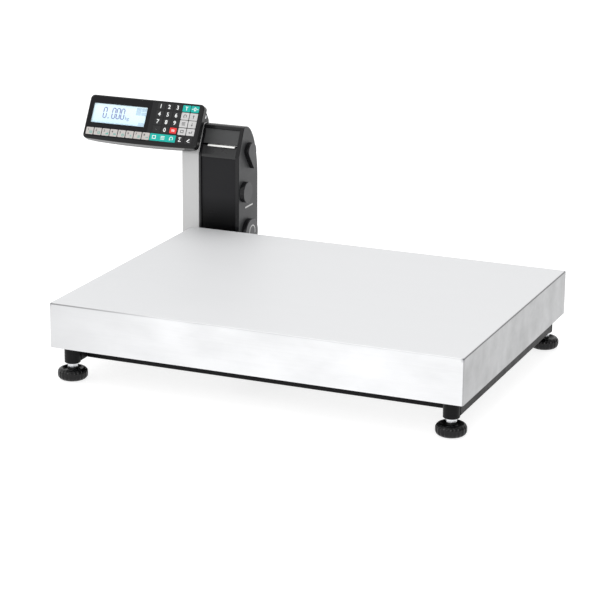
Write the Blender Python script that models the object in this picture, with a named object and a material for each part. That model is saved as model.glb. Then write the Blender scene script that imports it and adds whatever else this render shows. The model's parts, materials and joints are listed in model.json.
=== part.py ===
"""Platform shipping scale with a label printer and a display head on its column.

Metres, +Z up. Everything is first laid out about the middle of the platform, on
the floor, with the operator standing at -Y. The last step moves the whole scale
so that the origin is the middle of its outline on the floor.
"""

import bmesh
import bpy
from math import atan2, cos, pi, radians, sin, sqrt, tan
from mathutils import Vector

# Clearance between neighbouring pieces that touch, and round a turning shaft
GAP = 0.0003

# Weighing tray
TRAY_WIDTH = 0.800
TRAY_DEPTH = 0.600
TRAY_SKIRT = 0.085
TRAY_SHEET = 0.0015
TRAY_EDGE_RADIUS = 0.003
PLATFORM_HEIGHT = 0.150

# Tray carrier and load cell
PAD_RADIUS = 0.012
PAD_HEIGHT = 0.0036
PAD_INSET = 0.080
CARRIER_HEIGHT = 0.020
CARRIER_WIDTH = 0.030
CARRIER_WALL = 0.0015
CELL_LENGTH = 0.150
CELL_WIDTH = 0.040
CELL_HEIGHT = 0.050
CELL_STEP = 0.005
CELL_FOOT = 0.050
CELL_HOLE_RADIUS = 0.012
BOLT_RADIUS = 0.004
BOLT_FLATS = 0.013
BOLT_HEAD = 0.0055
BOLT_SPACING = 0.024

# Base frame
RAIL_WIDTH = 0.030
RAIL_HEIGHT = 0.040
RAIL_WALL = 0.002
BEAM_WIDTH = 0.060
FOOT_INSET = 0.030
CROSS_RAIL_INSET = 0.060
BUSH_RADIUS = 0.015
BUSH_PROUD_BELOW = 0.002
BUSH_PROUD_ABOVE = 0.001
DRAIN_RADIUS = 0.004
OUTRIGGER_HEIGHT = 0.025
OUTRIGGER_BELOW_SKIRT = 0.0063
COLUMN_PLATE = 0.004

# Levelling feet
STUD_RADIUS = 0.006
NUT_FLATS = 0.018
NUT_HEIGHT = 0.007
KNOB_RADIUS = 0.028
KNOB_HEIGHT = 0.023
KNOB_RIB_DEPTH = 0.0015
KNOB_SOCKET = 0.010
THREAD_CLEARANCE = 0.0005

# Column and printer, which share one side profile
COLUMN_GAP = 0.017
COLUMN_OVERHANG = 0.0294
COLUMN_WIDTH = 0.038
COLUMN_SHEET = 0.0015
PRINTER_WIDTH = 0.0904
PRINTER_WALL = 0.0025
PROFILE_DEPTH = 0.094
PROFILE_TOP = 0.358
BEND_BELOW_TOP = 0.058
SLOPE = radians(25)
BEND_RADIUS = 0.012
CROWN_RADIUS = 0.008
CROWN_FLAT = 0.003
BACK_CURVE_HEIGHT = 0.118

# Printer front: stations are measured up the front face, round the bend
FRAME_STRIP = 0.0048
FRONT_SILL = 0.008
PANEL_TOP_BELOW_BEND = 0.005
SLOT_ABOVE_BEND = 0.0205
SLOT_HEIGHT = 0.0045
HATCH_TOP_ABOVE_BEND = 0.0560
PANEL_RECESS = 0.003
LIP_RECESS = 0.0012
HATCH_RECESS = 0.002
PANEL_THICKNESS = 0.002

# Label cassette, which pulls out to the right
COVER_THICKNESS = 0.008
COVER_WALL = 0.0025
CASSETTE_PLATE = 0.002
CASSETTE_PLATE_INSET = 0.0065
SHAFT_RADIUS = 0.005
BOSS_RADIUS = 0.009
KNOB_PROUD = 0.0105
LABEL_WIDTH = 0.060
ROLL_FRONT_SPACE = 0.0015
ROLL_BACK_SPACE = 0.015
LABEL_CORE_RADIUS = 0.020
ROLL_KNOB_RADIUS = 0.0315
ROLL_HEIGHT = 0.132
REWIND_KNOB_RADIUS = 0.0215
REWIND_SPOOL_RADIUS = 0.014
REWIND_BEHIND_FRONT = 0.0226
REWIND_ABOVE_MIDDLE = 0.00825
LEVER_RADIUS = 0.0195
LEVER_TAIL = 0.036
LEVER_BEHIND_FRONT = 0.045
LEVER_ABOVE_BEND = 0.004
CAM_RADIUS = 0.009
PLATEN_RADIUS = 0.006
PLATEN_BEHIND_SLOT = 0.016
NIP_LENGTH = 0.003
HEAD_BLOCK = (0.014, 0.014)
LABEL_THICKNESS = 0.0004
MOTOR_SIZE = 0.022
MOTOR_LENGTH = 0.022
DRIVE_RADIUS = 0.003

# Mains inlet and switch, low on the printer's back
SOCKET_WIDTH = 0.0274
SOCKET_HEIGHT = 0.0194
SOCKET_DEPTH = 0.018
SOCKET_RIM = 0.002
FLANGE_THICKNESS = 0.0018
ROCKER_WIDTH = 0.012
ROCKER_RADIUS = 0.0095
ROCKER_SETBACK = 0.0075
ROCKER_REST = radians(-8)
ROCKER_REACH = radians(43)
ROCKER_DIP = 0.0018
ROCKER_TAIL = 0.005
REAR_FITTINGS_UP = 0.0165

# Display head, in its own directions: across, depth behind its face, and up
HEAD_WIDTH = 0.2605
HEAD_HEIGHT = 0.093
HEAD_DEPTH = 0.030
HEAD_TILT = radians(29)
HEAD_CORNER = 0.009
HEAD_WALL = 0.0025
HEAD_RIGHT_OVERLAP = 0.0099
BEZEL_DEPTH = 0.014
BEZEL_RIM = 0.004
FACE_WALL = 0.003
FILM_RECESS = 0.001
FILM_THICKNESS = 0.0006
TAPER_SIDE = 0.020
TAPER_TOP = 0.004
TAPER_BOTTOM = 0.001
CHIN = 0.0015
CHIN_BULGE = 0.0025
CHIN_STEPS = 12
LCD_LEFT = 0.0115
LCD_BOTTOM = 0.0338
LCD_WIDTH = 0.1228
LCD_HEIGHT = 0.0415
LCD_PANE = 0.0015
LCD_MODULE_MARGIN = 0.003
LCD_MODULE_DEPTH = 0.008
BOARD_THICKNESS = 0.0016
BOARD_INSET = 0.008

# Tilting neck between the column's top and the head
HINGE_RADIUS = 0.008
HINGE_PIN_RADIUS = 0.004
HINGE_BEHIND_FACE = 0.0398
HINGE_UP_FACE = 0.0788
HINGE_BEHIND_FRONT = 0.0386
HINGE_ABOVE_TOP = 0.011
EAR_THICKNESS = 0.0065
EAR_INSET = 0.002
PIN_HEAD_RADIUS = 0.006
PIN_HEAD = 0.0025
YOKE_PLATE = 0.003

# Worked out from the sizes above: heights
TRAY_UNDERSIDE = PLATFORM_HEIGHT - TRAY_SHEET
PAD_TOP = TRAY_UNDERSIDE - GAP
CARRIER_TOP = PAD_TOP - PAD_HEIGHT - GAP
CARRIER_BOTTOM = CARRIER_TOP - CARRIER_HEIGHT
CELL_TOP = CARRIER_BOTTOM - GAP
CELL_BOTTOM = CELL_TOP - CELL_HEIGHT
RAIL_TOP = CELL_BOTTOM - GAP
RAIL_BOTTOM = RAIL_TOP - RAIL_HEIGHT
BUSH_TOP = RAIL_TOP + BUSH_PROUD_ABOVE
BUSH_BOTTOM = RAIL_BOTTOM - BUSH_PROUD_BELOW
OUTRIGGER_TOP = PLATFORM_HEIGHT - TRAY_SKIRT - OUTRIGGER_BELOW_SKIRT
OUTRIGGER_BOTTOM = OUTRIGGER_TOP - OUTRIGGER_HEIGHT
PLATE_BOTTOM = OUTRIGGER_TOP + GAP
PLATE_TOP = PLATE_BOTTOM + COLUMN_PLATE
COLUMN_BOTTOM = PLATE_TOP + GAP
BEND_HEIGHT = PROFILE_TOP - BEND_BELOW_TOP
LEVER_HEIGHT = BEND_HEIGHT + LEVER_ABOVE_BEND
REWIND_HEIGHT = ((ROLL_HEIGHT + ROLL_KNOB_RADIUS + LEVER_HEIGHT - LEVER_TAIL) / 2
                 + REWIND_ABOVE_MIDDLE)

# Worked out: places across and along
FOOT_X = TRAY_WIDTH / 2 - FOOT_INSET
FOOT_Y = TRAY_DEPTH / 2 - FOOT_INSET
CROSS_RAIL_FRONT = TRAY_DEPTH / 2 - CROSS_RAIL_INSET
THREAD_HOLE = STUD_RADIUS + THREAD_CLEARANCE
RAIL_END = FOOT_Y - THREAD_HOLE - GAP
CROSS_RAIL_END = FOOT_X - RAIL_WIDTH / 2 - GAP
CARRIER_X = TRAY_WIDTH / 2 - PAD_INSET + PAD_RADIUS
CARRIER_Y = CROSS_RAIL_FRONT - RAIL_WIDTH / 2 - CARRIER_WIDTH / 3
FRONT = TRAY_DEPTH / 2 + COLUMN_GAP
BACK = FRONT + PROFILE_DEPTH
CROWN_Y = FRONT + (CROWN_RADIUS + (BEND_BELOW_TOP - CROWN_RADIUS) * sin(SLOPE)) / cos(SLOPE)
BACK_CURVE_Y = CROWN_Y + CROWN_FLAT
BACK_CURVE_DEPTH = BACK - BACK_CURVE_Y
ROLL_FRONT = FRONT + PANEL_RECESS + PANEL_THICKNESS + ROLL_FRONT_SPACE
ROLL_BACK = BACK - PRINTER_WALL - ROLL_BACK_SPACE
LABEL_RADIUS = (ROLL_BACK - ROLL_FRONT) / 2
ROLL_AXIS = (ROLL_FRONT + LABEL_RADIUS, ROLL_HEIGHT)
REWIND_AXIS = (FRONT + REWIND_BEHIND_FRONT, REWIND_HEIGHT)
LEVER_AXIS = (FRONT + LEVER_BEHIND_FRONT, LEVER_HEIGHT)
COLUMN_LEFT = -TRAY_WIDTH / 2 - COLUMN_OVERHANG
COLUMN_RIGHT = COLUMN_LEFT + COLUMN_WIDTH
PRINTER_LEFT = COLUMN_RIGHT + GAP
PRINTER_RIGHT = COLUMN_RIGHT + PRINTER_WIDTH
COVER_LEFT = PRINTER_RIGHT - COVER_THICKNESS
HOUSING_RIGHT = COVER_LEFT - GAP
PLATE_RIGHT = COVER_LEFT - GAP
PLATE_LEFT = PLATE_RIGHT - CASSETTE_PLATE
LABEL_RIGHT = PLATE_LEFT - 0.002
LABEL_LEFT = LABEL_RIGHT - LABEL_WIDTH
KNOB_LEFT = PRINTER_RIGHT + GAP
KNOB_RIGHT = PRINTER_RIGHT + KNOB_PROUD
SLOT_STATION = BEND_HEIGHT + SLOT_ABOVE_BEND


# ---------------------------------------------------------------- scene set-up

class Pivot:
    """An empty on a joint's axis, and where that axis is in its pieces' layout."""

    def __init__(self, name, anchor, parent=None, place=None, turn=0.0):
        self.anchor = Vector(anchor)
        self.empty = bpy.data.objects.new(name, None)
        self.empty.empty_display_size = 0.02
        bpy.context.scene.collection.objects.link(self.empty)
        spot = Vector(place) if place else self.anchor
        self.empty.location = spot - parent.anchor if parent else spot
        self.empty.rotation_euler = (turn, 0, 0)
        if parent:
            self.empty.parent = parent.empty


def clear_scene():
    for item in list(bpy.data.objects):
        bpy.data.objects.remove(item, do_unlink=True)


def paint(name, colour, roughness, metallic=0.0):
    material = bpy.data.materials.new(name)
    material.use_nodes = True
    shader = material.node_tree.nodes["Principled BSDF"]
    shader.inputs["Base Color"].default_value = (*colour, 1)
    shader.inputs["Roughness"].default_value = roughness
    shader.inputs["Metallic"].default_value = metallic
    return material


def add_node(name, bm, material, pivot, origin=None):
    """Make the bmesh one named object, hung from its pivot's empty."""
    bmesh.ops.recalc_face_normals(bm, faces=bm.faces)
    origin = Vector(origin) if origin else pivot.anchor
    bmesh.ops.translate(bm, verts=bm.verts, vec=-origin)
    mesh = bpy.data.meshes.new(name)
    bm.to_mesh(mesh)
    bm.free()
    mesh.shade_smooth()
    mesh.set_sharp_from_angle(angle=radians(30))
    mesh.materials.append(material)
    node = bpy.data.objects.new(name, mesh)
    bpy.context.scene.collection.objects.link(node)
    node.parent = pivot.empty
    node.location = origin - pivot.anchor
    return node


# ------------------------------------------------------------- shape functions

def block(low, high):
    bm = bmesh.new()
    bmesh.ops.create_cube(bm, size=1)
    size = [b - a for a, b in zip(low, high)]
    centre = [(a + b) / 2 for a, b in zip(low, high)]
    bmesh.ops.scale(bm, verts=bm.verts, vec=size)
    bmesh.ops.translate(bm, verts=bm.verts, vec=centre)
    return bm


def on_axis(axis, first, second, along):
    """A point from its two cross-section coordinates and its place along an axis."""
    return {"X": (along, first, second),
            "Y": (first, along, second),
            "Z": (first, second, along)}[axis]


def extruded(outline, axis, start, end):
    """A solid from a closed outline, drawn across an axis and pushed along it."""
    bm = bmesh.new()
    verts = [bm.verts.new(on_axis(axis, a, b, start)) for a, b in outline]
    face = bm.faces.new(verts)
    pushed = bmesh.ops.extrude_face_region(bm, geom=[face])["geom"]
    moved = [item for item in pushed if isinstance(item, bmesh.types.BMVert)]
    bmesh.ops.translate(bm, verts=moved, vec=on_axis(axis, 0, 0, end - start))
    return bm


def turned(profile, axis, centre, segments=24):
    """A turned solid from (radius, place along the axis) pairs.

    A profile that starts and ends on the axis is solid; any other is a ring.
    centre is the axis's place in the two directions across it.
    """
    bm = bmesh.new()
    verts = [bm.verts.new(on_axis(axis, radius, 0, along)) for radius, along in profile]
    chain = list(zip(verts, verts[1:]))
    if profile[0][0] > 0:
        chain.append((verts[-1], verts[0]))
    edges = [bm.edges.new(pair) for pair in chain]
    bmesh.ops.spin(bm, geom=verts + edges, cent=(0, 0, 0), axis=on_axis(axis, 0, 0, 1),
                   angle=2 * pi, steps=segments, use_merge=True)
    bmesh.ops.remove_doubles(bm, verts=bm.verts, dist=1e-6)
    bmesh.ops.dissolve_degenerate(bm, edges=bm.edges, dist=1e-6)
    bmesh.ops.translate(bm, verts=bm.verts, vec=on_axis(axis, *centre, 0))
    return bm


def rod(radius, axis, centre, start, end, segments=24):
    return turned([(0, start), (radius, start), (radius, end), (0, end)], axis, centre, segments)


def ring(outer, inner, axis, centre, start, end, segments=24):
    profile = [(inner, start), (outer, start), (outer, end), (inner, end)]
    return turned(profile, axis, centre, segments)


def make_hexagonal(bm, centre, flats, beyond):
    """Pull what lies outside a radius, about an upright axis, to a hexagon."""
    for vert in bm.verts:
        x, y = vert.co.x - centre[0], vert.co.y - centre[1]
        if sqrt(x * x + y * y) > beyond:
            angle = atan2(y, x)
            side = (angle + pi / 6) % (pi / 3) - pi / 6
            radius = flats / 2 / cos(side)
            vert.co.x = centre[0] + radius * cos(angle)
            vert.co.y = centre[1] + radius * sin(angle)


def boolean(bm, other, operation):
    """Join or cut one bmesh with another; both are used up."""
    pair = []
    for shape in (bm, other):
        bmesh.ops.recalc_face_normals(shape, faces=shape.faces)
        mesh = bpy.data.meshes.new("boolean_shape")
        shape.to_mesh(mesh)
        shape.free()
        holder = bpy.data.objects.new("boolean_shape", mesh)
        bpy.context.scene.collection.objects.link(holder)
        pair.append(holder)
    modifier = pair[0].modifiers.new("Boolean", "BOOLEAN")
    modifier.operation = operation
    modifier.object = pair[1]
    evaluated = pair[0].evaluated_get(bpy.context.evaluated_depsgraph_get())
    result = bmesh.new()
    result.from_mesh(evaluated.to_mesh())
    evaluated.to_mesh_clear()
    for holder in pair:
        mesh = holder.data
        bpy.data.objects.remove(holder, do_unlink=True)
        bpy.data.meshes.remove(mesh)
    return result


def cut(bm, *cutters):
    for cutter in cutters:
        bm = boolean(bm, cutter, "DIFFERENCE")
    return bm


def join(bm, *others):
    for other in others:
        bm = boolean(bm, other, "UNION")
    return bm


def tube(low, high, axis, wall):
    """A rectangular tube along an axis, open at both ends."""
    along = "XYZ".index(axis)
    inner_low = [value + wall for value in low]
    inner_high = [value - wall for value in high]
    inner_low[along] = low[along] - wall
    inner_high[along] = high[along] + wall
    return cut(block(low, high), block(inner_low, inner_high))


def arc(centre, radius, start, end, steps):
    """Points round an arc; angles in radians, and radius one value or two."""
    wide, high = radius if isinstance(radius, tuple) else (radius, radius)
    angles = [start + (end - start) * step / steps for step in range(steps + 1)]
    return [(centre[0] + wide * cos(a), centre[1] + high * sin(a)) for a in angles]


def rounded_rectangle(left, bottom, right, top, radius, steps=4):
    corners = [((right - radius, bottom + radius), -pi / 2), ((right - radius, top - radius), 0),
               ((left + radius, top - radius), pi / 2), ((left + radius, bottom + radius), pi)]
    points = []
    for centre, start in corners:
        points += arc(centre, radius, start, start + pi / 2, steps)
    return points


# ----------------------------------------------- side profile of the column

def station(distance, inset):
    """A point by its distance up the front face and its depth behind it."""
    if distance <= BEND_HEIGHT:
        return (FRONT + inset, distance)
    up = distance - BEND_HEIGHT
    return (FRONT + up * sin(SLOPE) + inset * cos(SLOPE),
            BEND_HEIGHT + up * cos(SLOPE) - inset * sin(SLOPE))


def front_path(inset, start, end):
    """The front face between two stations, with its bend rounded."""
    tangent = BEND_RADIUS * tan(SLOPE / 2)
    points = [station(start, inset)]
    if start < BEND_HEIGHT - tangent and end > BEND_HEIGHT + tangent:
        centre = (FRONT + BEND_RADIUS, BEND_HEIGHT - tangent)
        points += arc(centre, BEND_RADIUS - inset, pi, pi - SLOPE, 4)
    return points + [station(end, inset)]


def front_band(start, end, outer, inner):
    """A strip of wall along the front face, between two depths behind it."""
    return front_path(outer, start, end) + front_path(inner, start, end)[::-1]


def back_height(y, inset=0.0):
    """Height of the profile's rounded back at a given depth."""
    across = (y - BACK_CURVE_Y) / (BACK_CURVE_DEPTH - inset)
    rise = sqrt(max(0.0, 1 - across * across)) * (BACK_CURVE_HEIGHT - inset)
    return PROFILE_TOP - BACK_CURVE_HEIGHT + rise


def side_outline(inset=0.0, bottom=COLUMN_BOTTOM):
    """The whole side profile, drawn inwards by an inset."""
    crown = arc((CROWN_Y, PROFILE_TOP - CROWN_RADIUS), CROWN_RADIUS - inset, pi - SLOPE, pi / 2, 4)
    back_centre = (BACK_CURVE_Y, PROFILE_TOP - BACK_CURVE_HEIGHT)
    back = arc(back_centre, (BACK_CURVE_DEPTH - inset, BACK_CURVE_HEIGHT - inset), pi / 2, 0, 12)
    front = front_path(inset, bottom, BEND_HEIGHT + BEND_RADIUS)
    return front + crown + back + [(BACK - inset, bottom)]


# ------------------------------------------------------------------ the pieces

def build_tray(pivot, steel):
    bm = block((-TRAY_WIDTH / 2, -TRAY_DEPTH / 2, PLATFORM_HEIGHT - TRAY_SKIRT),
               (TRAY_WIDTH / 2, TRAY_DEPTH / 2, PLATFORM_HEIGHT))
    lowest = min(vert.co.z for vert in bm.verts)
    rounded = [edge for edge in bm.edges if not all(v.co.z < lowest + 1e-6 for v in edge.verts)]
    bmesh.ops.bevel(bm, geom=rounded, offset=TRAY_EDGE_RADIUS, segments=2, profile=0.5,
                    affect="EDGES", material=-1)
    floor = [face for face in bm.faces if all(v.co.z < lowest + 1e-6 for v in face.verts)]
    bmesh.ops.delete(bm, geom=floor, context="FACES_ONLY")
    bmesh.ops.recalc_face_normals(bm, faces=bm.faces)
    middle = max(bm.faces, key=lambda face: face.calc_area())
    if middle.normal.z < 0:
        bmesh.ops.reverse_faces(bm, faces=bm.faces)
    tray = add_shell("weighing_tray", bm, steel, pivot, TRAY_SHEET)
    return tray


def add_shell(name, bm, material, pivot, thickness):
    """An open sheet given its wall inwards by a Solidify modifier."""
    bmesh.ops.translate(bm, verts=bm.verts, vec=-pivot.anchor)
    mesh = bpy.data.meshes.new(name)
    bm.to_mesh(mesh)
    bm.free()
    mesh.materials.append(material)
    node = bpy.data.objects.new(name, mesh)
    bpy.context.scene.collection.objects.link(node)
    node.parent = pivot.empty
    wall = node.modifiers.new("Sheet", "SOLIDIFY")
    wall.thickness = thickness
    wall.offset = -1
    wall.use_even_offset = True
    return node


def build_carrier(root, paints):
    """The frame under the tray, which stands on the load cell's free end."""
    inner = CARRIER_Y - CARRIER_WIDTH / 2
    beam_middle = CELL_LENGTH / 2 - CELL_FOOT / 2
    beam = tube((beam_middle - BEAM_WIDTH / 2, -inner + GAP, CARRIER_BOTTOM),
                (beam_middle + BEAM_WIDTH / 2, inner - GAP, CARRIER_TOP), "Y", CARRIER_WALL)
    for side in (-1, 1):
        centre = (beam_middle, side * BOLT_SPACING / 2)
        beam = cut(beam, rod(BOLT_RADIUS + GAP, "Z", centre, CARRIER_BOTTOM - 0.01,
                             CARRIER_BOTTOM + CARRIER_HEIGHT / 2, 12))
        beam = cut(beam, rod(BOLT_FLATS * 0.7, "Z", centre, CARRIER_BOTTOM + CARRIER_HEIGHT / 2,
                             CARRIER_TOP + 0.01, 12))
    add_node("carrier_beam", beam, paints["black_paint"], root, (beam_middle, 0, CARRIER_TOP))
    for name, side in (("front", -1), ("rear", 1)):
        y = side * CARRIER_Y
        arm = tube((-CARRIER_X, y - CARRIER_WIDTH / 2, CARRIER_BOTTOM),
                   (CARRIER_X, y + CARRIER_WIDTH / 2, CARRIER_TOP), "X", CARRIER_WALL)
        add_node("carrier_arm_" + name, arm, paints["black_paint"], root, (0, y, CARRIER_TOP))
        for hand, across in (("left", -1), ("right", 1)):
            centre = (across * (TRAY_WIDTH / 2 - PAD_INSET), y)
            pad = rod(PAD_RADIUS, "Z", centre, CARRIER_TOP + GAP, PAD_TOP, 16)
            add_node(f"tray_pad_{name}_{hand}", pad, paints["rubber"], root, (*centre, PAD_TOP))


def build_load_cell(root, paints):
    end = CELL_LENGTH / 2
    foot = end - CELL_FOOT
    outline = [(-end, CELL_BOTTOM), (-foot, CELL_BOTTOM), (-foot, CELL_BOTTOM + CELL_STEP),
               (end, CELL_BOTTOM + CELL_STEP), (end, CELL_TOP), (foot, CELL_TOP),
               (foot, CELL_TOP - CELL_STEP), (-end, CELL_TOP - CELL_STEP)]
    body = extruded(outline, "Y", -CELL_WIDTH / 2, CELL_WIDTH / 2)
    middle = (CELL_BOTTOM + CELL_TOP) / 2
    eye = CELL_HOLE_RADIUS
    slot = arc((eye, middle), eye, -2.2, 2.2, 12) + arc((-eye, middle), eye, pi - 2.2, pi + 2.2, 12)
    body = cut(body, extruded(slot, "Y", -CELL_WIDTH, CELL_WIDTH))
    fixed, free = -end + CELL_FOOT / 2, end - CELL_FOOT / 2
    for x in (fixed, free):
        for side in (-1, 1):
            hole = rod(BOLT_RADIUS + GAP, "Z", (x, side * BOLT_SPACING / 2),
                       CELL_BOTTOM - 0.01, CELL_TOP + 0.01, 12)
            body = cut(body, hole)
    add_node("load_cell", body, paints["aluminium"], root, (0, 0, middle))

    under_fixed = CELL_TOP - CELL_STEP + GAP
    under_free = CARRIER_BOTTOM + CARRIER_WALL + GAP
    shanks = (("fixed", fixed, under_fixed, RAIL_TOP - RAIL_WALL - 0.006),
              ("free", free, under_free, CELL_BOTTOM + CELL_STEP + 0.010))
    for name, x, seat, tip in shanks:
        for number, side in ((1, -1), (2, 1)):
            centre = (x, side * BOLT_SPACING / 2)
            profile = [(0, tip), (BOLT_RADIUS, tip), (BOLT_RADIUS, seat), (BOLT_FLATS / 2, seat),
                       (BOLT_FLATS / 2, seat + BOLT_HEAD), (0, seat + BOLT_HEAD)]
            bolt = turned(profile, "Z", centre, 12)
            make_hexagonal(bolt, centre, BOLT_FLATS, BOLT_RADIUS * 1.1)
            add_node(f"cell_bolt_{name}_{number}", bolt, paints["zinc"], root, (*centre, seat))


def build_base_frame(root, paints):
    black = paints["black_paint"]
    half = RAIL_WIDTH / 2
    for name, side in (("left", -1), ("right", 1)):
        x = side * FOOT_X
        rail = tube((x - half, -RAIL_END, RAIL_BOTTOM), (x + half, RAIL_END, RAIL_TOP), "Y", RAIL_WALL)
        drain = rod(DRAIN_RADIUS, "X", (0, (RAIL_BOTTOM + RAIL_TOP) / 2),
                    min(0, -side * RAIL_WIDTH) + x, max(0, -side * RAIL_WIDTH) + x, 12)
        rail = cut(rail, drain)
        for end in (-1, 1):
            centre = (x, end * FOOT_Y)
            rail = join(rail, ring(BUSH_RADIUS, THREAD_HOLE, "Z", centre, BUSH_BOTTOM, BUSH_TOP))
        add_node("side_rail_" + name, rail, black, root, (x, 0, RAIL_BOTTOM))
    for name, side in (("front", -1), ("rear", 1)):
        near = CROSS_RAIL_FRONT - RAIL_WIDTH
        low, high = sorted((side * CROSS_RAIL_FRONT, side * near))
        rail = tube((-CROSS_RAIL_END, low, RAIL_BOTTOM), (CROSS_RAIL_END, high, RAIL_TOP), "X", RAIL_WALL)
        add_node("cross_rail_" + name, rail, black, root, (0, (low + high) / 2, RAIL_BOTTOM))

    x = -(CELL_LENGTH / 2 - CELL_FOOT / 2)
    reach = CROSS_RAIL_FRONT - RAIL_WIDTH - GAP
    beam = tube((x - BEAM_WIDTH / 2, -reach, RAIL_BOTTOM), (x + BEAM_WIDTH / 2, reach, RAIL_TOP),
                "Y", RAIL_WALL)
    for side in (-1, 1):
        beam = cut(beam, rod(BOLT_RADIUS + GAP, "Z", (x, side * BOLT_SPACING / 2),
                             RAIL_TOP - RAIL_HEIGHT / 2, RAIL_TOP + 0.01, 12))
    add_node("centre_beam", beam, black, root, (x, 0, RAIL_BOTTOM))


def build_column_support(root, paints):
    """Two arms welded to the base frame, and the plate that the column stands on."""
    black = paints["black_paint"]
    left_edge = -FOOT_X - BUSH_RADIUS - GAP
    right_middle = (PRINTER_RIGHT + COLUMN_RIGHT) / 2 + RAIL_WIDTH / 2
    arms = (("left", left_edge - RAIL_WIDTH, left_edge, FOOT_Y - 3 * RAIL_WIDTH),
            ("right", right_middle - RAIL_WIDTH / 2, right_middle + RAIL_WIDTH / 2,
             CROSS_RAIL_FRONT + GAP))
    for name, low, high, start in arms:
        arm = tube((low, start, OUTRIGGER_BOTTOM), (high, BACK - 0.003, OUTRIGGER_TOP), "Y", RAIL_WALL)
        add_node("column_arm_" + name, arm, black, root, ((low + high) / 2, start, OUTRIGGER_BOTTOM))
    plate = block((COLUMN_LEFT, FRONT, PLATE_BOTTOM), (PRINTER_RIGHT, BACK, PLATE_TOP))
    add_node("column_base_plate", plate, black, root, (COLUMN_LEFT, FRONT, PLATE_BOTTOM))


def build_feet(root, paints):
    """Four levelling feet: a stud that screws up and down, and the knob that turns it."""
    for end, along in (("front", -1), ("rear", 1)):
        for hand, across in (("left", -1), ("right", 1)):
            name = f"{end}_{hand}"
            centre = (across * FOOT_X, along * FOOT_Y)
            height = Pivot(f"foot_height_{name}", (*centre, 0), root)
            turn = Pivot(f"foot_turn_{name}", (*centre, 0), height)
            socket_floor = KNOB_HEIGHT - 0.002 - KNOB_SOCKET
            stud = rod(STUD_RADIUS, "Z", centre, socket_floor + GAP, BUSH_TOP - 0.008)
            add_node("foot_stud_" + name, stud, paints["zinc"], height)
            profile = [(0, 0), (KNOB_RADIUS - 0.004, 0), (KNOB_RADIUS, 0.005),
                       (KNOB_RADIUS, KNOB_HEIGHT - 0.005), (KNOB_RADIUS - 0.004, KNOB_HEIGHT),
                       (KNOB_RADIUS / 2, KNOB_HEIGHT - 0.002), (THREAD_HOLE, KNOB_HEIGHT - 0.002),
                       (THREAD_HOLE, socket_floor), (0, socket_floor)]
            knob = turned(profile, "Z", centre, 32)
            rib(knob, centre, KNOB_RADIUS - KNOB_RIB_DEPTH, 32)
            add_node("foot_knob_" + name, knob, paints["black_plastic"], turn)
            nut_top = BUSH_BOTTOM - GAP
            nut = ring(NUT_FLATS / 2, THREAD_HOLE, "Z", centre, nut_top - NUT_HEIGHT, nut_top)
            make_hexagonal(nut, centre, NUT_FLATS, NUT_FLATS / 2 * 0.95)
            add_node("foot_locknut_" + name, nut, paints["zinc"], root, (*centre, nut_top))


def rib(knob, centre, valley, segments):
    """Press every second side of a knob in, which leaves grip ribs."""
    for vert in knob.verts:
        x, y = vert.co.x - centre[0], vert.co.y - centre[1]
        radius = sqrt(x * x + y * y)
        side = round(atan2(y, x) / (2 * pi / segments))
        if radius > valley and side % 2:
            vert.co.x = centre[0] + x * valley / radius
            vert.co.y = centre[1] + y * valley / radius


def build_column(root, paints):
    """The grey sheet-metal column: a box with no floor, on the base plate."""
    post = extruded(side_outline(), "X", COLUMN_LEFT, COLUMN_RIGHT)
    inside = extruded(side_outline(COLUMN_SHEET, COLUMN_BOTTOM - 0.01), "X",
                      COLUMN_LEFT + COLUMN_SHEET, COLUMN_RIGHT - COLUMN_SHEET)
    y, z = platen_centre()
    shaft_hole = rod(DRIVE_RADIUS + 0.001, "X", (y, z), COLUMN_RIGHT - 0.01, COLUMN_RIGHT + 0.01, 16)
    post = cut(post, inside, shaft_hole)
    add_node("column_post", post, paints["grey_paint"], root, (COLUMN_LEFT, FRONT, COLUMN_BOTTOM))


def platen_centre():
    """The platen's top is level with the lower edge of the label slot."""
    slot_floor = station(SLOT_STATION, LIP_RECESS + PANEL_THICKNESS)[1]
    return (station(SLOT_STATION, PLATEN_BEHIND_SLOT)[0], slot_floor - PLATEN_RADIUS - GAP)


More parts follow.
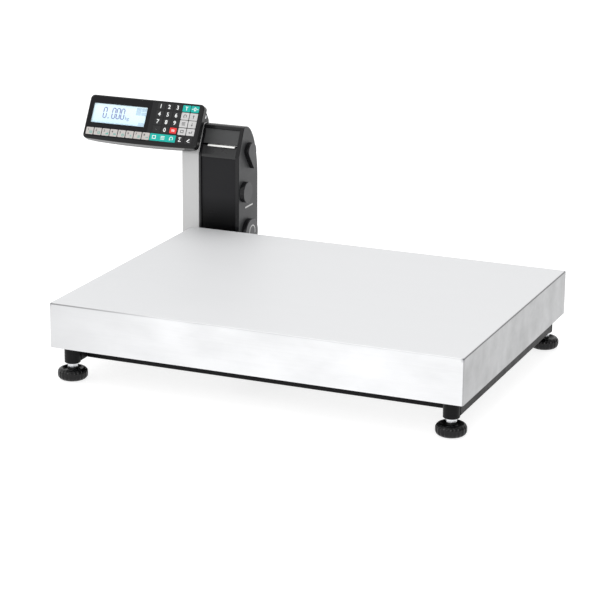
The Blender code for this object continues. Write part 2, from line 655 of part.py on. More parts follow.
def build_printer(root, paints):
    """The printer's fixed body: housing, front covers, print head, motor."""
    dark = paints["black_plastic"]
    hatch_top = BEND_HEIGHT + HATCH_TOP_ABOVE_BEND
    opening_low = COLUMN_BOTTOM + FRONT_SILL
    opening_left = PRINTER_LEFT + FRAME_STRIP
    body = extruded(side_outline(), "X", PRINTER_LEFT, HOUSING_RIGHT)
    inside = extruded(side_outline(PRINTER_WALL, COLUMN_BOTTOM + PRINTER_WALL), "X",
                      PRINTER_LEFT + PRINTER_WALL, HOUSING_RIGHT + 0.01)
    opening = extruded(front_band(opening_low, hatch_top, -0.01, PRINTER_WALL * 2), "X",
                       opening_left, HOUSING_RIGHT + 0.01)
    y, z = platen_centre()
    shaft_hole = rod(DRIVE_RADIUS + 0.001, "X", (y, z), PRINTER_LEFT - 0.01,
                     PRINTER_LEFT + PRINTER_WALL + 0.01, 16)
    socket_x, rocker_x, fittings_z = rear_fittings()
    socket_hole = block((socket_x - SOCKET_WIDTH / 2 - GAP, BACK - 0.01,
                         fittings_z - SOCKET_HEIGHT / 2 - GAP),
                        (socket_x + SOCKET_WIDTH / 2 + GAP, BACK + 0.01,
                         fittings_z + SOCKET_HEIGHT / 2 + GAP))
    rocker_hole = block((rocker_x - ROCKER_WIDTH / 2 - GAP, BACK - 0.01, fittings_z - ROCKER_RADIUS),
                        (rocker_x + ROCKER_WIDTH / 2 + GAP, BACK + 0.01, fittings_z + ROCKER_RADIUS))
    body = cut(body, inside, opening, shaft_hole, socket_hole, rocker_hole)
    add_node("printer_housing", body, dark, root, (PRINTER_LEFT, FRONT, COLUMN_BOTTOM))

    left, right = opening_left + GAP, HOUSING_RIGHT - GAP
    lip_low = BEND_HEIGHT - PANEL_TOP_BELOW_BEND
    covers = (("printer_front_panel", opening_low + GAP, lip_low - GAP, PANEL_RECESS, "gloss_black"),
              ("printer_lip", lip_low, SLOT_STATION, LIP_RECESS, "black_plastic"),
              ("printer_hatch", SLOT_STATION + SLOT_HEIGHT, hatch_top - GAP, HATCH_RECESS,
               "dark_plastic"))
    for name, start, end, recess, finish in covers:
        cover = extruded(front_band(start, end, recess, recess + PANEL_THICKNESS), "X", left, right)
        y, z = station(start, recess)
        add_node(name, cover, paints[finish], root, (left, y, z))

    y, z = platen_centre()
    low = z + PLATEN_RADIUS + LABEL_THICKNESS + 2 * GAP
    print_head = block((LABEL_LEFT - 0.003, y - NIP_LENGTH, low),
                       (LABEL_RIGHT - 0.001, y - NIP_LENGTH + HEAD_BLOCK[0], low + HEAD_BLOCK[1]))
    add_node("thermal_print_head", print_head, paints["aluminium"], root,
             ((LABEL_LEFT + LABEL_RIGHT) / 2, y, low))

    motor_right = COLUMN_RIGHT - COLUMN_SHEET - GAP
    motor = block((motor_right - MOTOR_LENGTH, y - MOTOR_SIZE / 2, z - MOTOR_SIZE / 2),
                  (motor_right, y + MOTOR_SIZE / 2, z + MOTOR_SIZE / 2))
    motor = cut(motor, rod(DRIVE_RADIUS + GAP, "X", (y, z), motor_right - 0.012, motor_right + 0.01, 16))
    add_node("feed_motor", motor, paints["zinc"], root, (motor_right, y, z))

    drive = Pivot("drive_turn", (motor_right, y, z), root)
    shaft_end = LABEL_LEFT - 0.004
    dog_start = PRINTER_LEFT + PRINTER_WALL + 0.001
    profile = [(0, motor_right - 0.010), (DRIVE_RADIUS, motor_right - 0.010),
               (DRIVE_RADIUS, dog_start), (DRIVE_RADIUS * 1.6, dog_start),
               (DRIVE_RADIUS * 1.6, shaft_end), (0, shaft_end)]
    add_node("drive_shaft", turned(profile, "X", (y, z), 16), paints["zinc"], drive)


def rear_fittings():
    """Where the mains inlet and the switch sit on the printer's back."""
    middle = (PRINTER_LEFT + HOUSING_RIGHT) / 2
    half = (SOCKET_WIDTH + ROCKER_WIDTH + 0.014) / 2
    height = COLUMN_BOTTOM + REAR_FITTINGS_UP
    return middle - half + SOCKET_WIDTH / 2, middle + half - ROCKER_WIDTH / 2, height


def build_rear_fittings(root, paints):
    socket_x, rocker_x, z = rear_fittings()
    half_w, half_h = SOCKET_WIDTH / 2, SOCKET_HEIGHT / 2
    face = BACK + GAP
    shell = block((socket_x - half_w, BACK - SOCKET_DEPTH, z - half_h),
                  (socket_x + half_w, face + FLANGE_THICKNESS / 2, z + half_h))
    flange = block((socket_x - half_w - SOCKET_RIM, face, z - half_h - SOCKET_RIM),
                   (socket_x + half_w + SOCKET_RIM, face + FLANGE_THICKNESS, z + half_h + SOCKET_RIM))
    hollow = block((socket_x - half_w + SOCKET_RIM, BACK - SOCKET_DEPTH + SOCKET_RIM,
                    z - half_h + SOCKET_RIM),
                   (socket_x + half_w - SOCKET_RIM, face + 0.01, z + half_h - SOCKET_RIM))
    inlet = cut(join(shell, flange), hollow)
    add_node("power_inlet", inlet, paints["black_plastic"], root, (socket_x, face, z))

    axis = (BACK - ROCKER_SETBACK, z)
    pivot = Pivot("switch_rock", (rocker_x, *axis), root)
    outline = arc(axis, ROCKER_RADIUS - GAP, ROCKER_REST - ROCKER_REACH, ROCKER_REST + ROCKER_REACH, 6)
    dip = ROCKER_RADIUS - ROCKER_DIP
    outline[3] = (axis[0] + dip * cos(ROCKER_REST), axis[1] + dip * sin(ROCKER_REST))
    outline += arc(axis, ROCKER_TAIL, pi + ROCKER_REST - ROCKER_REACH, pi + ROCKER_REST + ROCKER_REACH, 1)
    rocker = extruded(outline, "X", rocker_x - ROCKER_WIDTH / 2, rocker_x + ROCKER_WIDTH / 2)
    add_node("power_switch", rocker, paints["black_plastic"], pivot)


def build_cassette(root, paints):
    """The label cassette: its cover, plate, lever, two knobs, roll and platen."""
    slide = Pivot("cassette_slide", (COVER_LEFT, FRONT, COLUMN_BOTTOM), root)
    platen_axis = platen_centre()

    cover = extruded(side_outline(), "X", COVER_LEFT, PRINTER_RIGHT)
    cover = cut(cover, extruded(side_outline(COVER_WALL, COLUMN_BOTTOM + COVER_WALL), "X",
                                COVER_LEFT - 0.01, PRINTER_RIGHT - COVER_WALL))
    plate = extruded(side_outline(CASSETTE_PLATE_INSET, COLUMN_BOTTOM + CASSETTE_PLATE_INSET), "X",
                     PLATE_LEFT, PLATE_RIGHT)
    bore = SHAFT_RADIUS + GAP * 2
    for axis in (ROLL_AXIS, REWIND_AXIS, LEVER_AXIS):
        cover = join(cover, rod(BOSS_RADIUS, "X", axis, COVER_LEFT, PRINTER_RIGHT - COVER_WALL / 2, 20))
        cover = cut(cover, rod(bore, "X", axis, COVER_LEFT - 0.01, PRINTER_RIGHT + 0.01, 20))
        plate = cut(plate, rod(bore, "X", axis, PLATE_LEFT - 0.01, PLATE_RIGHT + 0.01, 20))
    plate = cut(plate, rod(DRIVE_RADIUS + GAP * 2, "X", platen_axis, PLATE_LEFT - 0.01,
                           PLATE_RIGHT + 0.01, 16))
    add_node("cassette_cover", cover, paints["dark_plastic"], slide)
    add_node("cassette_plate", plate, paints["zinc"], slide, (PLATE_LEFT, FRONT, COLUMN_BOTTOM))

    roll = Pivot("label_roll_turn", (LABEL_RIGHT, *ROLL_AXIS), slide)
    hub_radius = LABEL_CORE_RADIUS - GAP
    hub = [(0, LABEL_LEFT), (hub_radius, LABEL_LEFT), (hub_radius, LABEL_RIGHT),
           (SHAFT_RADIUS, LABEL_RIGHT), (SHAFT_RADIUS, KNOB_LEFT), (ROLL_KNOB_RADIUS, KNOB_LEFT),
           (ROLL_KNOB_RADIUS, KNOB_RIGHT - 0.001), (ROLL_KNOB_RADIUS - 0.001, KNOB_RIGHT),
           (0, KNOB_RIGHT)]
    add_node("roll_hub_knob", turned(hub, "X", ROLL_AXIS, 32), paints["dark_plastic"], roll)
    labels = ring(LABEL_RADIUS, LABEL_CORE_RADIUS, "X", ROLL_AXIS, LABEL_LEFT, LABEL_RIGHT, 32)
    add_node("label_roll", labels, paints["paper"], roll)

    rewind = Pivot("liner_rewind_turn", (LABEL_RIGHT, *REWIND_AXIS), slide)
    spool = [(0, LABEL_LEFT), (REWIND_SPOOL_RADIUS, LABEL_LEFT), (REWIND_SPOOL_RADIUS, LABEL_RIGHT),
             (SHAFT_RADIUS, LABEL_RIGHT), (SHAFT_RADIUS, KNOB_LEFT), (REWIND_KNOB_RADIUS, KNOB_LEFT),
             (REWIND_KNOB_RADIUS, KNOB_RIGHT - 0.001), (REWIND_KNOB_RADIUS - 0.001, KNOB_RIGHT),
             (0, KNOB_RIGHT)]
    add_node("liner_rewind_knob", turned(spool, "X", REWIND_AXIS, 28), paints["dark_plastic"], rewind)

    lift = Pivot("head_lift_turn", (KNOB_LEFT, *LEVER_AXIS), slide)
    add_node("head_lift_lever", lever_shape(LEVER_AXIS), paints["dark_plastic"], lift)

    platen = Pivot("platen_turn", (LABEL_RIGHT, *platen_axis), slide)
    stub = DRIVE_RADIUS
    roller = [(0, LABEL_LEFT - 0.001), (PLATEN_RADIUS, LABEL_LEFT - 0.001),
              (PLATEN_RADIUS, LABEL_RIGHT), (stub, LABEL_RIGHT), (stub, PLATE_RIGHT), (0, PLATE_RIGHT)]
    add_node("platen_roller", turned(roller, "X", platen_axis, 20), paints["rubber"], platen)
    add_node("label_strip", label_strip(), paints["paper"], slide, (LABEL_LEFT, *station(SLOT_STATION, 0)))


def lever_shape(axis):
    """A round-topped thumb lever with one flat flank, on a shaft with a cam."""
    y, z = axis
    tip = (y - LEVER_RADIUS + 0.002, z - 0.003)
    outline = arc(axis, LEVER_RADIUS, radians(178), radians(-20), 12)
    outline += [(y + 0.012, z - LEVER_TAIL), (y + 0.007, z - LEVER_TAIL), tip]
    lever = extruded(outline, "X", KNOB_LEFT, KNOB_RIGHT)
    shaft = rod(SHAFT_RADIUS, "X", axis, PLATE_LEFT - 0.014, KNOB_LEFT + 0.004, 20)
    cam = rod(CAM_RADIUS, "X", (y + 0.002, z), PLATE_LEFT - 0.012, PLATE_LEFT - 0.002, 20)
    return join(lever, shaft, cam)


def label_strip():
    """The end of the label web: out of the print nip, through the slot and just over the lip."""
    y, z = platen_centre()
    level = z + PLATEN_RADIUS + GAP
    slot_y, slot_z = station(SLOT_STATION + SLOT_HEIGHT * 0.3, 0)
    top = [(y, level), (y - NIP_LENGTH - 0.001, level), (slot_y, slot_z),
           (slot_y - 0.0025, slot_z - 0.0006), (slot_y - 0.0045, slot_z - 0.0024)]
    above = [(a, b + LABEL_THICKNESS) for a, b in top[::-1]]
    return extruded(top + above, "X", LABEL_LEFT, LABEL_RIGHT)


# ---------------------------------------------------------------- display head

def hinge_centre():
    """The neck's hinge axis, from the side profile's front and top."""
    return FRONT + HINGE_BEHIND_FRONT, PROFILE_TOP + HINGE_ABOVE_TOP


def build_neck(root, paints):
    """The block on the column's top that carries the head's hinge pin."""
    y, z = hinge_centre()
    low, high = COLUMN_LEFT + EAR_INSET, COLUMN_RIGHT - EAR_INSET
    foot_front, foot_back = y - HINGE_RADIUS, y + 0.015
    steps = 6
    under = [foot_front + (foot_back - foot_front) * k / steps for k in range(steps + 1)]
    underside = [(a, (PROFILE_TOP if a < BACK_CURVE_Y else back_height(a)) + GAP) for a in under]
    shoulder = arc((y, z), HINGE_RADIUS, radians(45), pi, 8)
    outline = underside + [(foot_back, PROFILE_TOP + 0.002)] + shoulder
    cap = extruded(outline, "X", low, high)
    slot = join(rod(HINGE_RADIUS + 0.0008, "X", (y, z), low + EAR_THICKNESS, high - EAR_THICKNESS, 24),
                block((low + EAR_THICKNESS, y - 0.03, z), (high - EAR_THICKNESS, y + 0.006, z + 0.02)))
    cap = cut(cap, slot)
    cap = cut(cap, rod(HINGE_PIN_RADIUS + GAP, "X", (y, z), low - 0.01, high + 0.01, 20))
    add_node("neck_block", cap, paints["black_plastic"], root, (low, y, z))

    pin = turned([(0, low - GAP - PIN_HEAD), (PIN_HEAD_RADIUS, low - GAP - PIN_HEAD),
                  (PIN_HEAD_RADIUS, low - GAP), (HINGE_PIN_RADIUS, low - GAP),
                  (HINGE_PIN_RADIUS, high), (0, high)], "X", (y, z), 20)
    add_node("hinge_pin", pin, paints["zinc"], root, (low, y, z))


def build_head(root, paints):
    """The display head, laid out flat: across, depth behind the face, height up the face."""
    right = COLUMN_RIGHT + HEAD_RIGHT_OVERLAP
    left = right - HEAD_WIDTH
    y, z = hinge_centre()
    tilt = Pivot("head_tilt", ((left + right) / 2, HINGE_BEHIND_FACE, HINGE_UP_FACE), root,
                 place=((left + right) / 2, y, z), turn=-HEAD_TILT)

    def slab(bounds, radius, start, end):
        return extruded(rounded_rectangle(*bounds, radius), "Y", start, end)

    def inset(amount):
        return (left + amount, amount, right - amount, HEAD_HEIGHT - amount)

    lcd = (left + LCD_LEFT, LCD_BOTTOM, left + LCD_LEFT + LCD_WIDTH, LCD_BOTTOM + LCD_HEIGHT)

    def window(margin, start, end):
        return block((lcd[0] - margin, start, lcd[1] - margin), (lcd[2] + margin, end, lcd[3] + margin))

    bezel = extruded(chinned(inset(0), HEAD_CORNER), "Y", 0, BEZEL_DEPTH)
    hollow = extruded(chinned(inset(HEAD_WALL), HEAD_CORNER - HEAD_WALL), "Y", FACE_WALL,
                      BEZEL_DEPTH + 0.01)
    bezel = cut(bezel, hollow,
                slab(inset(BEZEL_RIM), HEAD_CORNER - 0.002, -0.01, FILM_RECESS),
                window(GAP, -0.01, FACE_WALL + 0.01))
    add_node("head_bezel", bezel, paints["black_plastic"], tilt, (left, 0, 0))

    film_back = FILM_RECESS - GAP
    film = slab(inset(BEZEL_RIM + GAP), HEAD_CORNER - 0.002 - GAP, film_back - FILM_THICKNESS, film_back)
    film = cut(film, window(GAP, -0.01, 0.01))
    add_node("keypad_film", film, paints["film"], tilt, (left, 0, 0))
    pane_front = film_back - FILM_THICKNESS
    add_node("display_window", window(0, pane_front, pane_front + LCD_PANE), paints["glass"], tilt,
             (lcd[0], 0, lcd[1]))
    module_front = FACE_WALL + GAP
    module = window(LCD_MODULE_MARGIN, module_front, module_front + LCD_MODULE_DEPTH)
    add_node("display_module", module, paints["lcd"], tilt, (lcd[0], 0, lcd[1]))
    board_front = module_front + LCD_MODULE_DEPTH + GAP
    board = block((left + BOARD_INSET, board_front, BOARD_INSET),
                  (right - BOARD_INSET, board_front + BOARD_THICKNESS, HEAD_HEIGHT - BOARD_INSET))
    add_node("circuit_board", board, paints["board"], tilt, (left, board_front, 0))

    shell = tapered_shell(inset(0), BEZEL_DEPTH + GAP, HEAD_DEPTH, 0)
    hollow = tapered_shell(inset(0), BEZEL_DEPTH + GAP, HEAD_DEPTH, HEAD_WALL)
    add_node("head_rear_shell", cut(shell, hollow), paints["dark_plastic"], tilt, (left, HEAD_DEPTH, 0))

    ear_low = COLUMN_LEFT + EAR_INSET + EAR_THICKNESS + GAP
    ear_high = COLUMN_RIGHT - EAR_INSET - EAR_THICKNESS - GAP
    axis = (HINGE_BEHIND_FACE, HINGE_UP_FACE)
    plate_back = HEAD_DEPTH + GAP + YOKE_PLATE
    yoke = block((ear_low, HEAD_DEPTH + GAP, axis[1] - 0.030), (ear_high, plate_back, axis[1] + 0.010))
    web = block((ear_low, plate_back - 0.001, axis[1] - HINGE_RADIUS * 0.7),
                (ear_high, axis[0], axis[1] + HINGE_RADIUS * 0.7))
    yoke = join(yoke, web, rod(HINGE_RADIUS, "X", axis, ear_low, ear_high, 24))
    yoke = cut(yoke, rod(HINGE_PIN_RADIUS + GAP, "X", axis, ear_low - 0.01, ear_high + 0.01, 20))
    add_node("neck_yoke", yoke, paints["black_plastic"], tilt, (ear_low, *axis))


def chinned(bounds, radius):
    """The head's outline: a rounded rectangle whose lower edge hangs below it in a shallow curve."""
    left, bottom, right, top = bounds
    low = bottom - CHIN
    start, span = left + radius, right - left - 2 * radius
    steps = [k / CHIN_STEPS for k in range(1, CHIN_STEPS)]
    curve = [(start + span * k, low - CHIN_BULGE * 4 * k * (1 - k)) for k in steps]
    return rounded_rectangle(left, low, right, top, radius) + curve


def tapered_shell(bounds, start, end, wall):
    """The rear shell's outer shape, or with a wall its hollow, open to the front."""
    left, bottom, right, top = bounds
    mouth = (left + wall, bottom + wall, right - wall, top - wall)
    near, far = (start - 0.001, end - wall) if wall else (start, end)
    bm = extruded(chinned(mouth, HEAD_CORNER - wall), "Y", near, far)
    middle, low = (mouth[0] + mouth[2]) / 2, mouth[1] - CHIN
    narrower = 1 - 2 * TAPER_SIDE / (mouth[2] - mouth[0])
    flatter = 1 - (TAPER_TOP + TAPER_BOTTOM) / (mouth[3] - low)
    for vert in bm.verts:
        if vert.co.y > (near + far) / 2:
            vert.co.x = middle + (vert.co.x - middle) * narrower
            vert.co.z = low + TAPER_BOTTOM + (vert.co.z - low) * flatter
    return bm


# ------------------------------------------------------------------- whole scale

def stand_on_origin(root):
    """Move the scale so that the origin is the middle of its outline, on the floor."""
    bpy.context.view_layer.update()
    corners = [node.matrix_world @ Vector(corner)
               for node in bpy.data.objects if node.type == "MESH" for corner in node.bound_box]
    low = [min(corner[k] for corner in corners) for k in range(3)]
    high = [max(corner[k] for corner in corners) for k in range(3)]
    root.empty.location = (-(low[0] + high[0]) / 2, -(low[1] + high[1]) / 2, -low[2])


def main():
    clear_scene()
    paints = {
        "black_paint": paint("black_paint", (0.02, 0.02, 0.02), 0.45),
        "grey_paint": paint("grey_paint", (0.60, 0.60, 0.60), 0.45),
        "black_plastic": paint("black_plastic", (0.015, 0.015, 0.016), 0.40),
        "dark_plastic": paint("dark_plastic", (0.09, 0.09, 0.09), 0.55),
        "gloss_black": paint("gloss_black", (0.02, 0.02, 0.02), 0.12),
        "film": paint("film", (0.02, 0.02, 0.02), 0.35),
        "rubber": paint("rubber", (0.02, 0.02, 0.02), 0.85),
        "paper": paint("paper", (0.90, 0.90, 0.88), 0.70),
        "glass": paint("glass", (0.60, 0.80, 0.85), 0.05),
        "lcd": paint("lcd", (0.60, 0.82, 0.90), 0.40),
        "board": paint("board", (0.02, 0.16, 0.06), 0.50),
        "steel": paint("steel", (0.78, 0.78, 0.78), 0.30, 1.0),
        "aluminium": paint("aluminium", (0.75, 0.75, 0.76), 0.35, 1.0),
        "zinc": paint("zinc", (0.70, 0.70, 0.68), 0.30, 1.0),
    }
    root = Pivot("scale", (0, 0, 0))
    tray_lift = Pivot("tray_lift", (0, 0, PLATFORM_HEIGHT), root)
    build_tray(tray_lift, paints["steel"])
    build_carrier(root, paints)
    build_load_cell(root, paints)
    build_base_frame(root, paints)
    build_column_support(root, paints)
    build_feet(root, paints)
    build_column(root, paints)
    build_printer(root, paints)
    build_rear_fittings(root, paints)
    build_cassette(root, paints)
    build_neck(root, paints)
    build_head(root, paints)
    stand_on_origin(root)


main()
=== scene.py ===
"""Looks of the platform shipping scale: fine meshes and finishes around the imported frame.

Metres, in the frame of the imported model. Places come from the frame's own boxes and
joints, and the named sizes below are those of details that the frame leaves plain.
"""

import json

import bmesh
import bpy
from math import atan2, cos, pi, radians, sin, sqrt, tan
from mathutils import Matrix, Vector


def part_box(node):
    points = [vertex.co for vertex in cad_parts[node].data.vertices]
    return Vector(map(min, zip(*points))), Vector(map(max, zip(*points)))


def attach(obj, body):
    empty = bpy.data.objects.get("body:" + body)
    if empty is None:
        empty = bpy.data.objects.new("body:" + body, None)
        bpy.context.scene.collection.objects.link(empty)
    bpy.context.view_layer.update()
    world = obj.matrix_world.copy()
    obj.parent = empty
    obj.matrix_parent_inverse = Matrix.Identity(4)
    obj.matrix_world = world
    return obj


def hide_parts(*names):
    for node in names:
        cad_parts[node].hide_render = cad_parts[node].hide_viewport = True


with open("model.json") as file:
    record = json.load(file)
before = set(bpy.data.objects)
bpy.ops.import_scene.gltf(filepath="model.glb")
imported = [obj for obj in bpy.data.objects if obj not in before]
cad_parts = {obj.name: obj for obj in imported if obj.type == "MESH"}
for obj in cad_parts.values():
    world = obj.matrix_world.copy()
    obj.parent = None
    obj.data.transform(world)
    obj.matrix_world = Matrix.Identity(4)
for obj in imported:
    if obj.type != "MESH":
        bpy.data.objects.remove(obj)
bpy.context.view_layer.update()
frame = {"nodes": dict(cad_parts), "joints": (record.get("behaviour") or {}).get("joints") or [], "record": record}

# Camera: direction of view, distance, and how far the aim lies from the tray's middle
VIEW_AZIMUTH = radians(22.97)
VIEW_ELEVATION = radians(16.70)
VIEW_ROLL = radians(0.42)
VIEW_DISTANCE = 4.24526
VIEW_ASIDE = (-0.02743, -0.02589)
LENS_MM = 135.8

# Tray
TRAY_SHEET = 0.0015
TRAY_FOLD = 0.003
TRAY_CORNER = 0.0038
# How far from the tray's left end the painted shade on its skirts and folds fades out
LEFT_SHADE_RUN = 0.24

# Frame tubes, and the bushes that hold the feet at the side rails' ends
TUBE_CORNER = 0.003
RAIL_WALL = 0.002
CARRIER_WALL = 0.0015
BUSH_EDGE = 0.0012
BUSH_ROOM = 1.08
RAIL_UNDER_BUSH = 0.002
RAIL_OVER_BUSH = 0.001

# Feet
RIBS = 20
RIB_DEPTH = 0.0013
KNOB_LOWER_ROUND = 0.0090
KNOB_UPPER_ROUND = 0.0085
THREAD_PITCH = 0.00175
THREAD_DEPTH = 0.0009
NUT_BORE = 0.0066
NUT_CHAMFER = 0.0013

# Column and printer profile
SLOPE = radians(25)
BEND_BELOW_TOP = 0.058
BEND_RADIUS = 0.012
CROWN_RADIUS = 0.008
CROWN_FLAT = 0.003
BACK_CURVE_HEIGHT = 0.118
COLUMN_SHEET = 0.0015
PRINTER_WALL = 0.0025
FRAME_STRIP = 0.0048
FRONT_SILL = 0.008
PANEL_TOP_BELOW_BEND = 0.005
SLOT_ABOVE_BEND = 0.0205
SLOT_HEIGHT = 0.0045
HATCH_TOP_ABOVE_BEND = 0.0560
PANEL_RECESS = 0.003
LIP_RECESS = 0.0012
HATCH_RECESS = 0.002
PANEL_THICKNESS = 0.002
PANEL_GAP = 0.0003
# Heights over which the painted shade on the polished panel gives way to its lighter upper part
PANEL_SHADE_RISE = (0.165, 0.215)
SHAFT_HOLE = 0.004
SOCKET_RIM = 0.0020
ROCKER_HALF = 0.0095
INLET_BLADES = ((-0.0070, 0.002), (0.0, -0.002), (0.0070, 0.002))
BLADE_HALF = (0.0010, 0.0020)
PAST = 0.01

# Cassette
COVER_WALL = 0.0025
BOSS_BORE = 0.0056
BOSS_RADIUS = 0.009
HUB_SHAFT = 0.005
HUB_SHAFT_INTO_KNOB = 0.002
KNOB_EDGE = 0.0016
ROLL_CORE = 0.0197
ROLL_EDGE = 0.0003
SPOOL_RADIUS = 0.014
CAM_RADIUS = 0.009
CAM_LENGTH = 0.010
CAM_OFFSET = 0.002
ARROW_RADIUS = 0.0135
ARROW_WIDTH = 0.0022
MARK_SIZE = (0.0373, 0.0030)
MARK_FROM_REWINDER = (0.0081, -0.0369)

# Head, in its own directions: across from its left, behind its face, and up the face
HEAD_TILT = radians(29)
HEAD_WIDTH = 0.2605
HEAD_HEIGHT = 0.093
HEAD_DEPTH = 0.030
HEAD_CORNER = 0.009
HINGE_BEHIND_FACE = 0.0398
HINGE_UP_FACE = 0.0788
BEZEL_DEPTH = 0.014
BEZEL_RIM = 0.004
FILM_FRONT = 0.0001
FILM_BACK = 0.0007
FACE_WALL = 0.003
TAPER_SIDE = 0.020
TAPER_TOP = 0.004
TAPER_BOTTOM = 0.001
CHIN = 0.0015
CHIN_BULGE = 0.0025
CHIN_STEPS = 24
LCD_LEFT = 0.0115
LCD_BOTTOM = 0.0338
LCD_WIDTH = 0.1228
LCD_HEIGHT = 0.0415
LENS_RIGHT = 0.144
WINDOW_CORNER = 0.0008
PANE_THICKNESS = 0.0015
SCREW_IN = (0.022, 0.016)
SCREW_RADIUS = 0.0030

# Keypad: places across from the head's left and up its face
KEY_BASE = 0.0070
KEY_TALL = 0.0153
KEY_CORNER = 0.0012
KEY_PROUD = 0.00045
LETTER_WEIGHT = 0.022
SOFT_KEY_START = 0.0060
SOFT_KEY_PITCH = 0.01845
SOFT_KEY_WIDE = 0.0168
SOFT_ICONS = ("card", "box", "steps", "pair", "clock", "plus", "bars", "right")
WIDE_KEY = (0.1530, 0.2113)
SUM_KEY = (0.2127, 0.2293)
PEN_KEY = (0.2318, 0.2485)
DIGIT_MIDDLE = (0.1652, 0.1843, 0.2034)
DIGIT_ROWS = (0.0813, 0.0647, 0.0485, 0.0318)
DIGITS = ("123", "456", "789", ".0")
DIGIT_KEY = (0.0168, 0.0142)
DIGIT_TALL = 0.0086
DIGIT_SHIFT = -0.0014
POINT_TALL = 0.0030
RED_KEY = (0.0154, 0.0122)
RED_KEY_UP = 0.0003
FUNCTION_START = (0.2134, 0.2325)
FUNCTION_WIDE = 0.0176
FUNCTION_ROWS = (("teal", 0.0738, 0.0884), ("pale", 0.0568, 0.0727), ("pale", 0.0405, 0.0563),
                 ("pale", 0.0243, 0.0397))
FUNCTION_ICONS = (("tare", "zero"), ("turn", "up"), ("bars", "down"), ("box", "enter"))
FUNCTION_GAP = 0.0003
ICON_SIZE = 0.0084
INK = 0.0001
INK_ABOVE_KEY = 0.00009

# Display: the figures 0.000, the unit, and the faint blocks round them
FIGURE_LEFT = (0.0342, 0.0543, 0.0646, 0.0749)
FIGURE_BASE = 0.0450
FIGURE_SIZE = (0.0092, 0.0243)
BAR_WIDTH = 0.0023
POINT = (0.0467, 0.0450, 0.0493, 0.0478)
UNIT_MIDDLE = (0.0915, 0.0478)
UNIT_TALL = 0.0078
FAINT_BLOCKS = ((0.109, 0.0575, 0.1205, 0.0735), (0.1215, 0.0575, 0.1335, 0.0650),
                (0.1215, 0.0660, 0.1335, 0.0735), (0.119, 0.0350, 0.1335, 0.0425))
FAINT_DASHES = 9
FAINT_DASH = (0.0140, 0.0352, 0.0210, 0.0364)
FAINT_PITCH = 0.0108

# Studio
SKY_STRENGTH = 1.0
SKY_RIGHT = 0.35
SKY_TURN = (0.1, 0.9)
FLOOR_GLOW = 0.80
FLOOR_HALF = 12.0
FLOOR_DROP = 0.0004
LIGHTS = (("overhead panel", (-0.3, 0.9, 2.6), 2.4, 26), ("front panel", (1.2, -2.8, 1.3), 1.5, 24),
          ("left panel", (-2.6, -0.9, 0.9), 1.2, 8))


# --------------------------------------------------------------------- finishes

class Amount:
    """A number in a finish's maths. Arithmetic on it adds Math nodes."""

    def __init__(self, finish, socket):
        self.finish = finish
        self.socket = socket

    def sum(self, operation, first, second):
        return self.finish.node("ShaderNodeMath", {"operation": operation}, {0: first, 1: second})

    def __add__(self, other):
        return self.sum("ADD", self, other)

    def __radd__(self, other):
        return self.sum("ADD", other, self)

    def __sub__(self, other):
        return self.sum("SUBTRACT", self, other)

    def __rsub__(self, other):
        return self.sum("SUBTRACT", other, self)

    def __mul__(self, other):
        return self.sum("MULTIPLY", self, other)

    def __rmul__(self, other):
        return self.sum("MULTIPLY", other, self)

    def __truediv__(self, other):
        return self.sum("DIVIDE", self, other)

    def __gt__(self, other):
        return self.sum("GREATER_THAN", self, other)

    def __abs__(self):
        return self.sum("ABSOLUTE", self, 0)


